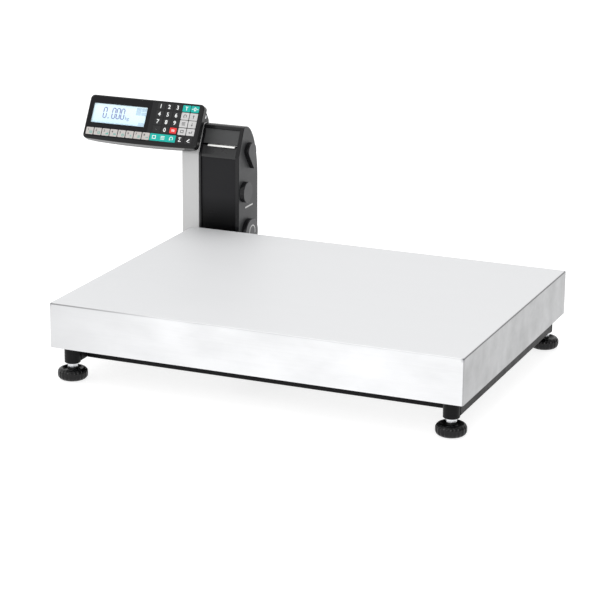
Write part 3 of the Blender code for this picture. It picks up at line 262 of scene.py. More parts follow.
class Finish:
    """One material: a Principled shader, and the nodes that vary it over a surface."""

    def __init__(self, name, colour, roughness, metallic=0.0, **sockets):
        self.material = bpy.data.materials.new(name)
        self.material.use_nodes = True
        self.material.diffuse_color = (*colour, 1)
        self.tree = self.material.node_tree
        self.shader = self.tree.nodes["Principled BSDF"]
        self.colour = colour
        self.roughness = roughness
        self.set("Base Color", (*colour, 1))
        self.set("Roughness", roughness)
        self.set("Metallic", metallic)
        for socket, value in sockets.items():
            self.set(socket.replace("_", " "), value)

    def set(self, socket, value):
        self.feed(self.shader.inputs[socket], value)

    def feed(self, socket, value):
        if isinstance(value, Amount):
            self.tree.links.new(value.socket, socket)
        else:
            socket.default_value = value

    def node(self, kind, settings=None, inputs=None, output=0):
        made = self.tree.nodes.new(kind)
        for name, value in (settings or {}).items():
            if name == "stops":
                stops = made.color_ramp.elements
                for element, (place, shade) in zip(stops, value):
                    element.position = place
                    element.color = (shade, shade, shade, 1)
            else:
                setattr(made, name, value)
        for name, value in (inputs or {}).items():
            self.feed(made.inputs[name], value)
        return Amount(self, made.outputs[output])

    def place(self, scale=(1, 1, 1), centre=(0, 0, 0), turn=(0, 0, 0)):
        """Object coordinates, moved to a centre, turned and scaled."""
        spot = self.node("ShaderNodeTexCoord", output="Object")
        moved = self.node("ShaderNodeVectorMath", {"operation": "SUBTRACT"}, {0: spot, 1: centre})
        return self.node("ShaderNodeMapping", {}, {"Vector": moved, "Rotation": turn, "Scale": scale})

    def parts(self, vector):
        made = self.node("ShaderNodeSeparateXYZ", {}, {0: vector})
        outputs = made.socket.node.outputs
        return [Amount(self, outputs[k]) for k in range(3)]

    def grain(self, scale, detail=3.0, stretch=(1, 1, 1), rough=0.55):
        return self.node("ShaderNodeTexNoise", {}, {"Vector": self.place(stretch), "Scale": scale,
                                                    "Detail": detail, "Roughness": rough})

    def ramp(self, value, low, high, first=0.0, last=1.0):
        return self.node("ShaderNodeMapRange", {}, {0: value, 1: low, 2: high, 3: first, 4: last})

    def blend(self, share, first, second):
        made = self.node("ShaderNodeMix", {"data_type": "RGBA"}, {0: share})
        mixer = made.socket.node
        self.feed(mixer.inputs[6], first)
        self.feed(mixer.inputs[7], second)
        return Amount(self, mixer.outputs[2])

    def facing(self, axis):
        """How far the surface faces along an axis of the object, from -1 to 1."""
        normal = self.node("ShaderNodeNewGeometry", output="Normal")
        return self.parts(normal)[axis]

    def bumps(self, height, strength, distance):
        self.set("Normal", self.node("ShaderNodeBump", {}, {"Height": height, "Strength": strength,
                                                           "Distance": distance}))


def shade(colour, factor):
    return (*[min(1.0, channel * factor) for channel in colour], 1)


def brushed_steel(name, colour=(0.735, 0.74, 0.75), corners=None):
    """Stainless sheet, brushed along X on the top and long skirts and upright on the short ones; its colour also
    carries painted shade: darker short skirts, a darker left end, darker folds and dark spots at the top corners.
    """
    steel = Finish(name, colour, 0.36, 1.0)
    along = steel.node("ShaderNodeTexNoise", {}, {"Vector": steel.place((1.2, 420, 420)),
                                                  "Scale": 2.0, "Detail": 4.0})
    upright = steel.node("ShaderNodeTexNoise", {}, {"Vector": steel.place((420, 420, 5)),
                                                    "Scale": 2.0, "Detail": 4.0})
    on_end = abs(steel.facing(0)) > 0.6
    on_top = steel.ramp(steel.facing(2), 0.75, 0.97)
    streak = upright * on_end + along * (1 - on_end)
    cloud = steel.grain(5.0, 4.0, (1.0, 2.2, 3.0))
    smear = steel.grain(16.0, 3.0, (0.6, 1.4, 1.6))
    mottle = steel.ramp(cloud * 0.6 + smear * 0.25 + streak * 0.15, 0.36, 0.66)
    tone = mottle * (1 - on_top * 0.85) + on_top * 0.42
    mottle_and_painted_shade = steel.blend(tone, shade(colour, 0.93), shade(colour, 1.12))
    mottle_and_painted_shade = steel.blend(on_top, mottle_and_painted_shade, shade(colour, 0.885))
    # Painted shade: the short skirts at the ends are darkened to a cloudy 0.44 to 0.72 of the sheet's colour.
    mottle_and_painted_shade = steel.blend(on_end, mottle_and_painted_shade, steel.blend(mottle, shade(colour, 0.44), shade(colour, 0.72)))
    on_fold = steel.ramp(steel.facing(2), 0.10, 0.35) * (1 - steel.ramp(steel.facing(2), 0.80, 0.98))
    x, _, _ = steel.parts(steel.place())
    left_end_shade = steel.ramp(x, tray_low.x, tray_low.x + LEFT_SHADE_RUN, 1.0, 0.0)
    sideways = steel.ramp(abs(steel.facing(0)), 0.05, 0.3)
    # Painted shade: the skirts darken towards the tray's left end.
    mottle_and_painted_shade = steel.blend(left_end_shade * (1 - on_top) * 0.5, mottle_and_painted_shade, shade(colour, 0.68))
    # Painted shade: the rounded folds darken, most along the short sides and near the left end of the long ones.
    mottle_and_painted_shade = steel.blend(on_fold * sideways * 0.85, mottle_and_painted_shade, shade(colour, 0.30))
    mottle_and_painted_shade = steel.blend(on_fold * (1 - sideways) * left_end_shade * 0.75, mottle_and_painted_shade, shade(colour, 0.22))
    # Painted shade: dark spots at the top corners stand in for the shade in the corners' notches.
    for corner in corners or ():
        spot = steel.node("ShaderNodeTexCoord", output="Object")
        far = steel.node("ShaderNodeVectorMath", {"operation": "DISTANCE"}, {0: spot, 1: corner},
                         output="Value")
        near = steel.ramp(far, 0.0015, 0.0075, 0.75, 0.0)
        mottle_and_painted_shade = steel.blend(near, mottle_and_painted_shade, (0.23, 0.235, 0.25, 1))
    steel.set("Base Color", mottle_and_painted_shade)
    steel.set("Metallic", 1 - on_top * 0.80)
    steel.set("Roughness", steel.ramp(streak * 0.5 + cloud * 0.5, 0.3, 0.7, 0.30, 0.46) + on_top * 0.16)
    steel.bumps(streak, 0.10, 0.0004)
    return steel.material


def bare_metal(name, colour, roughness, cast=0.12):
    """Machined or zinc-plated metal with slight clouds in its shine."""
    metal = Finish(name, colour, roughness, 1.0)
    cloud = metal.grain(120.0, 4.0)
    metal.set("Base Color", metal.blend(metal.ramp(cloud, 0.3, 0.7), shade(colour, 1 - cast),
                                        shade(colour, 1 + cast)))
    metal.set("Roughness", metal.ramp(metal.grain(60.0), 0.3, 0.7, roughness * 0.75, roughness * 1.3))
    metal.bumps(metal.grain(900.0, 2.0), 0.15, 0.0002)
    return metal.material


def powder_coat(name, colour, roughness, dimple=0.25):
    """Baked paint with fine orange peel, slightly dusty on top."""
    coat = Finish(name, colour, roughness, 0.0, Specular_IOR_Level=0.14)
    peel = coat.grain(650.0, 2.0)
    dust = coat.ramp(coat.facing(2) * coat.grain(28.0), 0.2, 0.8, 0.0, 0.05)
    coat.set("Base Color", coat.blend(dust, shade(colour, 1.0), (0.5, 0.49, 0.47, 1)))
    coat.set("Roughness", coat.ramp(coat.grain(35.0), 0.3, 0.7, roughness * 0.88, roughness * 1.14))
    coat.bumps(peel, dimple, 0.0003)
    return coat.material


def moulding(name, colour, roughness, texture=0.2, scale=1400.0, fine=None):
    """Injection moulded plastic with an eroded mould texture and faint handling marks."""
    plastic = Finish(name, colour, roughness, 0.0, Specular_IOR_Level=0.3)
    spark = plastic.grain(scale, 2.0)
    marks = plastic.ramp(plastic.grain(22.0, 5.0), 0.35, 0.75)
    plastic.set("Base Color", plastic.blend(marks * 0.5, shade(colour, 1.0), shade(colour, fine or 1.25)))
    plastic.set("Roughness", plastic.ramp(plastic.grain(55.0, 4.0), 0.3, 0.7, roughness * 0.85,
                                          roughness * 1.15))
    plastic.bumps(spark, texture, 0.00012)
    return plastic.material


def moulding_with_painted_light(name, rim, face, rim_rough, face_rough):
    """A glossy dark moulding whose outer side is textured; its colour is set by facing, as painted light on the
    outer side and painted shade on the glossy rims.
    """
    plastic = Finish(name, face, face_rough, 0.0, Specular_IOR_Level=0.3)
    outer = plastic.ramp(plastic.facing(0), 0.86, 0.97)
    spark = plastic.grain(1500.0, 2.0)
    mottled = plastic.blend(plastic.ramp(plastic.grain(30.0, 5.0), 0.3, 0.75), shade(face, 0.92),
                            shade(face, 1.08))
    # Painted light and shade: the side facing out along X gets the light colour, the rims the dark one.
    plastic.set("Base Color", plastic.blend(outer, shade(rim, 1.0), mottled))
    plastic.set("Roughness", plastic.ramp(outer, 0.0, 1.0, rim_rough, face_rough)
                + (plastic.grain(70.0) - 0.5) * 0.08)
    plastic.bumps(spark * outer, 0.25, 0.00012)
    return plastic.material


def polished_black(name, colour=(0.012, 0.012, 0.013)):
    """Polished moulding with a hard coat, a few wipe marks, painted shade that darkens it towards its foot, and a
    slightly wavy surface.
    """
    gloss = Finish(name, colour, 0.3, 0.0, Specular_IOR_Level=0.09)
    wipe = gloss.grain(9.0, 5.0, (1, 1, 3))
    _, _, z = gloss.parts(gloss.place())
    rise = gloss.ramp(z, PANEL_SHADE_RISE[0], PANEL_SHADE_RISE[1])
    gloss.set("Roughness", gloss.ramp(wipe, 0.35, 0.75, 0.26, 0.38))
    # Base colour: painted shade, dark at the panel's foot and lighter higher up, with the wipe marks mixed in.
    gloss.set("Base Color", gloss.blend(rise * 0.85 + wipe * 0.15, shade(colour, 0.1), shade(colour, 1.7)))
    gloss.bumps(gloss.grain(14.0, 1.0), 0.08, 0.004)
    return gloss.material


def rubber(name):
    """Moulded rubber, matt and a little dusty."""
    stuff = Finish(name, (0.018, 0.018, 0.018), 0.72)
    dust = stuff.ramp(stuff.grain(40.0, 5.0), 0.45, 0.85)
    stuff.set("Base Color", stuff.blend(dust * 0.35, (0.016, 0.016, 0.016, 1), (0.06, 0.058, 0.055, 1)))
    stuff.set("Roughness", stuff.ramp(stuff.grain(90.0), 0.3, 0.7, 0.62, 0.82))
    stuff.bumps(stuff.grain(1100.0, 3.0), 0.3, 0.0002)
    return stuff.material


def label_paper(name, axis):
    """Coated paper. On the roll's ends the wound layers show as fine rings round its axis."""
    paper = Finish(name, (0.86, 0.86, 0.84), 0.55)
    across = paper.place((1, 1, 1), (0, *axis))
    _, y, z = paper.parts(across)
    radius = paper.node("ShaderNodeMath", {"operation": "SQRT"}, {0: y * y + z * z})
    rings = paper.node("ShaderNodeTexNoise", {"noise_dimensions": "1D"}, {"W": radius * 2600,
                                                                         "Scale": 1.0, "Detail": 2.0})
    on_end = abs(paper.facing(0)) > 0.8
    tint = paper.ramp(rings * on_end, 0.4, 0.8, 0.0, 0.5)
    paper.set("Base Color", paper.blend(tint, (0.88, 0.88, 0.86, 1), (0.62, 0.61, 0.58, 1)))
    paper.set("Roughness", paper.ramp(paper.grain(300.0), 0.3, 0.7, 0.5, 0.62))
    paper.bumps(rings * on_end + paper.grain(1800.0) * 0.2, 0.15, 0.0002)
    return paper.material


def keypad_print(name, colour, roughness=0.32):
    """Printed polyester over a key dome: fine satin grain, faint touch marks."""
    ink = Finish(name, colour, roughness, Specular_IOR_Level=0.25)
    touch = ink.ramp(ink.grain(95.0, 4.0), 0.35, 0.75)
    ink.set("Base Color", ink.blend(touch, shade(colour, 0.95), shade(colour, 1.06)))
    ink.set("Roughness", ink.ramp(ink.grain(160.0), 0.3, 0.7, roughness * 0.8, roughness * 1.2))
    ink.bumps(ink.grain(2500.0, 2.0), 0.12, 0.0001)
    return ink.material


def keypad_film(name, lens_edge):
    """Black film: clear and glossy round the display, finely grained round the keys."""
    film = Finish(name, (0.012, 0.012, 0.013), 0.3, Specular_IOR_Level=0.22)
    x, _, _ = film.parts(film.node("ShaderNodeTexCoord", output="Object"))
    keys = film.ramp(x, lens_edge - 0.0004, lens_edge + 0.0004)
    film.set("Base Color", film.blend(keys, (0.004, 0.004, 0.005, 1), (0.013, 0.013, 0.014, 1)))
    film.set("Roughness", film.ramp(keys, 0.0, 1.0, 0.14, 0.36) + (film.grain(40.0) - 0.5) * 0.06)
    film.bumps(film.grain(2500.0, 2.0) * keys, 0.14, 0.0001)
    return film.material


def display_glass(name):
    """Clear pane with an anti-glare skin."""
    pane = Finish(name, (0.80, 0.90, 0.95), 0.08, Alpha=0.10, Specular_IOR_Level=0.5)
    pane.set("Roughness", pane.ramp(pane.grain(45.0, 3.0), 0.3, 0.7, 0.05, 0.14))
    pane.set("Alpha", pane.ramp(pane.grain(12.0, 2.0), 0.3, 0.7, 0.08, 0.12))
    return pane.material


def display_panel(name, low, high):
    """Backlit liquid crystal, a little bluer towards its lower edge, with a faint dot matrix."""
    panel = Finish(name, (0.52, 0.68, 0.76), 0.3, Emission_Strength=0.25)
    _, _, z = panel.parts(panel.node("ShaderNodeTexCoord", output="Object"))
    rise = panel.ramp(z, low, high)
    cloud = panel.ramp(panel.grain(26.0, 3.0), 0.3, 0.75)
    glow = panel.blend(rise * 0.6 + cloud * 0.4, (0.54, 0.75, 0.88, 1), (0.74, 0.90, 0.94, 1))
    panel.set("Base Color", glow)
    panel.set("Emission Color", glow)
    panel.set("Roughness", panel.ramp(cloud, 0.0, 1.0, 0.25, 0.35))
    return panel.material


def circuit(name):
    """Green solder resist with copper showing faintly through it."""
    board = Finish(name, (0.02, 0.16, 0.06), 0.35)
    lines = board.node("ShaderNodeTexBrick", {}, {"Vector": board.place((1, 1, 1)), "Scale": 160.0,
                                                 "Mortar Size": 0.03}, output="Fac")
    board.set("Base Color", board.blend(lines, (0.015, 0.13, 0.05, 1), (0.05, 0.26, 0.10, 1)))
    board.set("Roughness", board.ramp(lines, 0.0, 1.0, 0.4, 0.25))
    board.bumps(lines, 0.2, 0.0001)
    return board.material


def studio_floor(name):
    """Pale seamless floor, lit from below so that shadows stay faint."""
    floor = Finish(name, (0.40, 0.40, 0.40), 0.7, Specular_IOR_Level=0.1, Emission_Strength=FLOOR_GLOW)
    floor.set("Base Color", floor.blend(floor.grain(2.0), (0.39, 0.39, 0.39, 1), (0.41, 0.41, 0.41, 1)))
    floor.set("Emission Color", (1.0, 1.0, 1.0, 1))
    return floor.material


# ---------------------------------------------------------------- mesh helpers

def spot(axis, along, point):
    """A point from its place along an axis and its two other coordinates."""
    first, second = point
    return {"X": (along, first, second), "Y": (first, along, second), "Z": (first, second, along)}[axis]


def settled(bm, distance=1e-6):
    """A mesh with its doubled points merged and its faces turned outwards."""
    bmesh.ops.remove_doubles(bm, verts=bm.verts, dist=distance)
    bmesh.ops.recalc_face_normals(bm, faces=bm.faces)
    return bm


def prism(outline, axis, start, end):
    """A closed solid of one outline."""
    bm = bmesh.new()
    face = bm.faces.new([bm.verts.new(spot(axis, start, point)) for point in outline])
    grown = bmesh.ops.extrude_face_region(bm, geom=[face])
    moved = [part for part in grown["geom"] if isinstance(part, bmesh.types.BMVert)]
    bmesh.ops.translate(bm, verts=moved, vec=spot(axis, end - start, (0, 0)))
    return settled(bm)


def turned(profile, axis, centre, steps=64):
    """A round solid from (radius, place along the axis) points, outer side first to last."""
    bm = bmesh.new()
    first, second = centre
    chain = [bm.verts.new(spot(axis, along, (first + radius, second))) for radius, along in profile]
    edges = [bm.edges.new(pair) for pair in zip(chain, chain[1:])]
    bmesh.ops.spin(bm, geom=chain + edges, cent=spot(axis, 0, centre), axis=spot(axis, 1, (0, 0)),
                   dvec=(0, 0, 0), angle=2 * pi, steps=steps, use_merge=True, use_duplicate=False)
    return settled(bm)


def drum(radius, start, end, edge=0.0, bore=0.0):
    """The profile of a disc or, with a bore, of a ring, square or with its outer edges cut off."""
    rim = [(radius - edge, start), (radius, start + edge), (radius, end - edge), (radius - edge, end)]
    profile = [(bore, start)] + (rim if edge else [(radius, start), (radius, end)]) + [(bore, end)]
    return profile + [(bore, start)] if bore else profile


def block(low, high):
    """A box between two corners."""
    bm = bmesh.new()
    bmesh.ops.create_cube(bm, size=1.0)
    size = [b - a for a, b in zip(low, high)]
    middle = [(a + b) / 2 for a, b in zip(low, high)]
    bmesh.ops.scale(bm, verts=bm.verts, vec=size)
    bmesh.ops.translate(bm, verts=bm.verts, vec=middle)
    return bm


def soften(bm, width, segments=3, angle=radians(28), wanted=None):
    """Round the edges that turn by more than an angle, or only those that are wanted."""
    edges = [edge for edge in bm.edges
             if edge.is_manifold and edge.calc_face_angle(0) > angle and (not wanted or wanted(edge))]
    bmesh.ops.bevel(bm, geom=edges, offset=width, offset_type="OFFSET", affect="EDGES",
                    segments=segments, profile=0.5, material=-1, clamp_overlap=True)
    return bm


def cut(bm, *cutters):
    """Take solids away from a solid."""
    for cutter in cutters:
        bm = combined(bm, cutter, "DIFFERENCE")
    return bm


def combined(bm, other, operation):
    """Two solids joined by one boolean operation, which uses both up."""
    meshes = []
    for source in (bm, other):
        mesh = bpy.data.meshes.new("work")
        source.to_mesh(mesh)
        source.free()
        meshes.append(mesh)
    objects = [bpy.data.objects.new("work", mesh) for mesh in meshes]
    for worked in objects:
        bpy.context.scene.collection.objects.link(worked)
    modifier = objects[0].modifiers.new("work", "BOOLEAN")
    modifier.operation = operation
    modifier.object = objects[1]
    modifier.solver = "EXACT"
    bpy.context.view_layer.update()
    evaluated = objects[0].evaluated_get(bpy.context.evaluated_depsgraph_get())
    result = bmesh.new()
    result.from_mesh(evaluated.to_mesh())
    evaluated.to_mesh_clear()
    for worked in objects:
        bpy.data.objects.remove(worked)
    for mesh in meshes:
        bpy.data.meshes.remove(mesh)
    bmesh.ops.dissolve_limit(result, angle_limit=radians(0.4), verts=result.verts, edges=result.edges)
    return settled(result, 1e-5)


def together(*parts):
    """Several meshes in one, as they stand."""
    whole = bmesh.new()
    for part in parts:
        mesh = bpy.data.meshes.new("work")
        part.to_mesh(mesh)
        part.free()
        whole.from_mesh(mesh)
        bpy.data.meshes.remove(mesh)
    return whole


def arc(centre, radius, start, end, steps):
    """Points along an arc, or along an ellipse's when the radius is a pair."""
    wide, tall = radius if isinstance(radius, tuple) else (radius, radius)
    angles = [start + (end - start) * k / steps for k in range(steps + 1)]
    return [(centre[0] + wide * cos(a), centre[1] + tall * sin(a)) for a in angles]


def rounded_box(left, bottom, right, top, radius, steps=8):
    """The outline of a rectangle with rounded corners."""
    corners = (((right - radius, top - radius), 0), ((left + radius, top - radius), pi / 2),
               ((left + radius, bottom + radius), pi), ((right - radius, bottom + radius), 1.5 * pi))
    return [point for centre, start in corners
            for point in arc(centre, radius, start, start + pi / 2, steps)]


def piece(name, bm, body, finish, slot, *nodes, weighted=True, smooth=radians(40)):
    """A finished mesh as an object that rides on a body and stands for CAD nodes."""
    mesh = bpy.data.meshes.new(name)
    bm.to_mesh(mesh)
    bm.free()
    mesh.materials.append(finish)
    mesh.shade_smooth()
    mesh.set_sharp_from_angle(angle=smooth)
    made = bpy.data.objects.new(name, mesh)
    bpy.context.scene.collection.objects.link(made)
    if weighted:
        shading = made.modifiers.new("even shading", "WEIGHTED_NORMAL")
        shading.keep_sharp = True
    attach(made, body)
    if nodes:
        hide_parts(*nodes)
    return made


def refined(node, width, segments=2, angle=radians(30)):
    """A merged copy of a CAD node's mesh, with its sharp edges rounded."""
    bm = bmesh.new()
    bm.from_mesh(frame["nodes"][node].data)
    settled(bm, 1e-5)
    bmesh.ops.dissolve_limit(bm, angle_limit=radians(1), verts=bm.verts, edges=bm.edges)
    return soften(bm, width, segments, angle)


# ------------------------------------------------------------------- places

tray_low, tray_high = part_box("weighing_tray")
column_low, column_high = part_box("column_post")
housing_low, housing_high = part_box("printer_housing")
cover_low, cover_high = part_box("cassette_cover")
head_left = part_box("head_bezel")[0].x
joint_at = {joint["name"]: Vector(joint["pos_m"]) for joint in frame["joints"] if "pos_m" in joint}

FRONT, BACK = column_low.y, column_high.y
BOTTOM, TOP = column_low.z, column_high.z
BEND_HEIGHT = TOP - BEND_BELOW_TOP
SLOT_STATION = BEND_HEIGHT + SLOT_ABOVE_BEND
HATCH_TOP = BEND_HEIGHT + HATCH_TOP_ABOVE_BEND
CROWN_Y = FRONT + (CROWN_RADIUS + (BEND_BELOW_TOP - CROWN_RADIUS) * sin(SLOPE)) / cos(SLOPE)
BACK_CURVE_Y = CROWN_Y + CROWN_FLAT
BACK_CURVE_DEPTH = BACK - BACK_CURVE_Y


# ------------------------------------------------------ side profile of the column

def station(distance, inset):
    """A point by its distance up the front face and its depth behind it."""
    if distance <= BEND_HEIGHT:
        return (FRONT + inset, distance)
    up = distance - BEND_HEIGHT
    return (FRONT + up * sin(SLOPE) + inset * cos(SLOPE),
            BEND_HEIGHT + up * cos(SLOPE) - inset * sin(SLOPE))


def front_path(inset, start, end):
    """The front face between two stations, with its bend rounded."""
    tangent = BEND_RADIUS * tan(SLOPE / 2)
    points = [station(start, inset)]
    if start < BEND_HEIGHT - tangent and end > BEND_HEIGHT + tangent:
        centre = (FRONT + BEND_RADIUS, BEND_HEIGHT - tangent)
        points += arc(centre, BEND_RADIUS - inset, pi, pi - SLOPE, 10)
    return points + [station(end, inset)]


def front_band(start, end, outer, inner):
    """A strip of wall along the front face, between two depths behind it."""
    return front_path(outer, start, end) + front_path(inner, start, end)[::-1]


def side_outline(inset=0.0, bottom=BOTTOM):
    """The whole side profile, drawn inwards by an inset."""
    crown = arc((CROWN_Y, TOP - CROWN_RADIUS), CROWN_RADIUS - inset, pi - SLOPE, pi / 2, 8)
    back_centre = (BACK_CURVE_Y, TOP - BACK_CURVE_HEIGHT)
    back = arc(back_centre, (BACK_CURVE_DEPTH - inset, BACK_CURVE_HEIGHT - inset), pi / 2, 0, 36)
    front = front_path(inset, bottom, BEND_HEIGHT + BEND_RADIUS)
    return front + crown + back + [(BACK - inset, bottom)]


def across(edge):
    """Whether an edge lies in a plane square to X, as a side face's rim does."""
    return abs(edge.verts[0].co.x - edge.verts[1].co.x) < 1e-6


def lying_at(axis, place):
    """A test for the edges that lie at a place along an axis."""
    return lambda edge: all(abs(vert.co[axis] - place) < 1e-6 for vert in edge.verts)


def round_x(profile, centre, steps):
    """A solid turned round a line along X through a joint or a point."""
    return turned(profile, "X", (centre.y, centre.z), steps)


def shaft_hole(wall):
    """A cutter for the drive shaft's hole through a wall."""
    return round_x(drum(SHAFT_HOLE, wall - PAST, wall + PAST), joint_at["drive_turn"], 32)


# ------------------------------------------------------------------- the tray

def make_tray(steel):
    """One folded sheet: rounded folds along the top, tight ground corners, open below."""
    low, high, sheet = tray_low, tray_high, TRAY_SHEET
    outer = prism(rounded_box(low.x, low.y, high.x, high.y, TRAY_CORNER, 6), "Z", low.z, high.z)
    soften(outer, TRAY_FOLD, 6, radians(60), lying_at(2, high.z))
    inner = prism(rounded_box(low.x + sheet, low.y + sheet, high.x - sheet, high.y - sheet,
                              TRAY_CORNER - sheet, 6), "Z", low.z - PAST, high.z - sheet)
    piece("tray_shell", cut(outer, inner), "tray", steel, "tray_steel", "weighing_tray", smooth=radians(30))


# --------------------------------------------------------------- frame and feet

def square_tube(low, high, axis, wall, radius=TUBE_CORNER):
    """A rectangular tube with rounded corners, open at both ends."""
    index = "XYZ".index(axis)
    others = [k for k in range(3) if k != index]
    (a, b), (c, d) = [(low[k], high[k]) for k in others]
    outer = prism(rounded_box(a, c, b, d, radius, 4), axis, low[index], high[index])
    inner = prism(rounded_box(a + wall, c + wall, b - wall, d - wall, radius - wall, 4), axis,
                  low[index] - wall, high[index] + wall)
    return cut(outer, inner)


def make_frame(paint):
    """The carrier under the tray, the frame's tubes, its rails with their bushes, and the column's plate."""
    for node, axis, wall in (("carrier_beam", "Y", CARRIER_WALL), ("carrier_arm_front", "X", CARRIER_WALL),
                             ("carrier_arm_rear", "X", CARRIER_WALL), ("cross_rail_front", "X", RAIL_WALL),
                             ("cross_rail_rear", "X", RAIL_WALL), ("centre_beam", "Y", RAIL_WALL),
                             ("column_arm_left", "Y", RAIL_WALL), ("column_arm_right", "Y", RAIL_WALL)):
        low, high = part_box(node)
        piece(node + "_tube", square_tube(low, high, axis, wall), "base", paint, "frame_paint", node)
    for hand in ("left", "right"):
        low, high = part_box("side_rail_" + hand)
        feet = [joint_at[f"foot_turn_{end}_{hand}"] for end in ("front", "rear")]
        radius = abs(feet[0].y - low.y)
        hole = (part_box(f"foot_stud_front_{hand}")[1].x - feet[0].x) * BUSH_ROOM
        rail_low = Vector((low.x, feet[0].y + hole, low.z + RAIL_UNDER_BUSH))
        rail_high = Vector((high.x, feet[1].y - hole, high.z - RAIL_OVER_BUSH))
        bush = drum(radius, low.z, high.z, BUSH_EDGE, hole)
        bushes = [turned(bush, "Z", (foot.x, foot.y), 64) for foot in feet]
        piece("side_rail_" + hand + "_welded",
              together(square_tube(rail_low, rail_high, "Y", RAIL_WALL), *bushes), "base", paint,
              "frame_paint", "side_rail_" + hand)
    low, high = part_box("column_base_plate")
    piece("column_base_plate_cut", soften(block(low, high), 0.0006), "base", paint, "frame_paint",
          "column_base_plate")


def make_foot_knob(corner, centre, finish):
    """A round hand knob with ribs about its rim and a sunken top round its hub."""
    low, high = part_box("foot_knob_" + corner)
    radius, tall = (high.x - low.x) / 2, high.z - low.z
    hub = radius * 0.36
    profile = [(0, 0), (radius * 0.68, 0), (radius * 0.70, 0.0004)]
    profile += arc((radius - KNOB_LOWER_ROUND, KNOB_LOWER_ROUND + 0.0002), KNOB_LOWER_ROUND,
                   radians(-72), 0, 8)
    profile += arc((radius - KNOB_UPPER_ROUND, tall - KNOB_UPPER_ROUND - 0.0013), KNOB_UPPER_ROUND,
                   0, radians(72), 8)
    profile += [(radius * 0.70, tall - 0.0016), (radius * 0.64, tall - 0.0034),
                (radius * 0.52, tall - 0.0056), (hub + 0.003, tall - 0.0054), (hub, tall - 0.0034),
                (hub - 0.0006, tall - 0.0006), (hub - 0.0016, tall), (NUT_BORE + 0.0006, tall),
                (NUT_BORE, tall - 0.0006), (NUT_BORE, tall * 0.5), (0, tall * 0.5)]
    knob = turned(profile, "Z", (centre.x, centre.y), 160)
    for vert in knob.verts:
        x, y = vert.co.x - centre.x, vert.co.y - centre.y
        out = sqrt(x * x + y * y)
        grip = max(0.0, min(1.0, (out - radius * 0.80) / (radius * 0.16)))
        if grip > 0:
            wave = 0.5 - 0.5 * cos(RIBS * atan2(y, x))
            pull = 1 - RIB_DEPTH * grip * (wave ** 3) / out
            vert.co.x = centre.x + x * pull
            vert.co.y = centre.y + y * pull
    piece("foot_knob_" + corner + "_moulded", knob, "knob_" + corner, finish, "black_plastic",
          "foot_knob_" + corner, weighted=False)


def make_foot_stud(corner, centre, finish):
    """The threaded stud, with its thread as rings one pitch apart."""
    low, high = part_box("foot_stud_" + corner)
    radius = (high.x - low.x) / 2
    root, end = radius - THREAD_DEPTH, radius - 0.0012
    profile = [(0, low.z), (end, low.z)]
    for k in range(int((high.z - low.z - 0.002) / THREAD_PITCH)):
        z = low.z + 0.0008 + k * THREAD_PITCH
        profile += [(root, z), (radius, z + THREAD_PITCH * 0.42), (radius, z + THREAD_PITCH * 0.58)]
    profile += [(end, high.z), (0, high.z)]
    piece("foot_stud_" + corner + "_threaded", turned(profile, "Z", (centre.x, centre.y), 40),
          "stud_" + corner, finish, "zinc_plate", "foot_stud_" + corner, weighted=False, smooth=radians(25))


def make_locknut(corner, centre, finish):
    """A hexagon nut whose corners are turned off at both ends."""
    low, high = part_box("foot_locknut_" + corner)
    flats = min(high.x - low.x, high.y - low.y)
    crown = flats / 2 / cos(pi / 6)
    hexagon = prism(arc((centre.x, centre.y), crown, 0, 2 * pi, 6)[:-1], "Z", low.z, high.z)
    inner, outer = flats / 2 - 0.0002, crown + 0.0004
    cone = turned([(0, low.z), (inner, low.z), (outer, low.z + NUT_CHAMFER), (outer, high.z - NUT_CHAMFER),
                   (inner, high.z), (0, high.z)], "Z", (centre.x, centre.y), 72)
    bore = turned(drum(NUT_BORE, low.z - 0.002, high.z + 0.002), "Z", (centre.x, centre.y), 48)
    piece("foot_locknut_" + corner + "_turned", cut(combined(hexagon, cone, "INTERSECT"), bore), "base",
          finish, "zinc_plate", "foot_locknut_" + corner, weighted=False, smooth=radians(22))


# ---------------------------------------------------------- column and printer

def make_column(paint):
    """The grey sheet-metal column, open at its foot."""
    post = prism(side_outline(), "X", column_low.x, column_high.x)
    soften(post, 0.0014, 4, radians(28), across)
    inside = prism(side_outline(COLUMN_SHEET, BOTTOM - COLUMN_SHEET), "X", column_low.x + COLUMN_SHEET,
                   column_high.x - COLUMN_SHEET)
    piece("column_shell", cut(post, inside, shaft_hole(column_high.x)), "base", paint, "column_paint",
          "column_post")


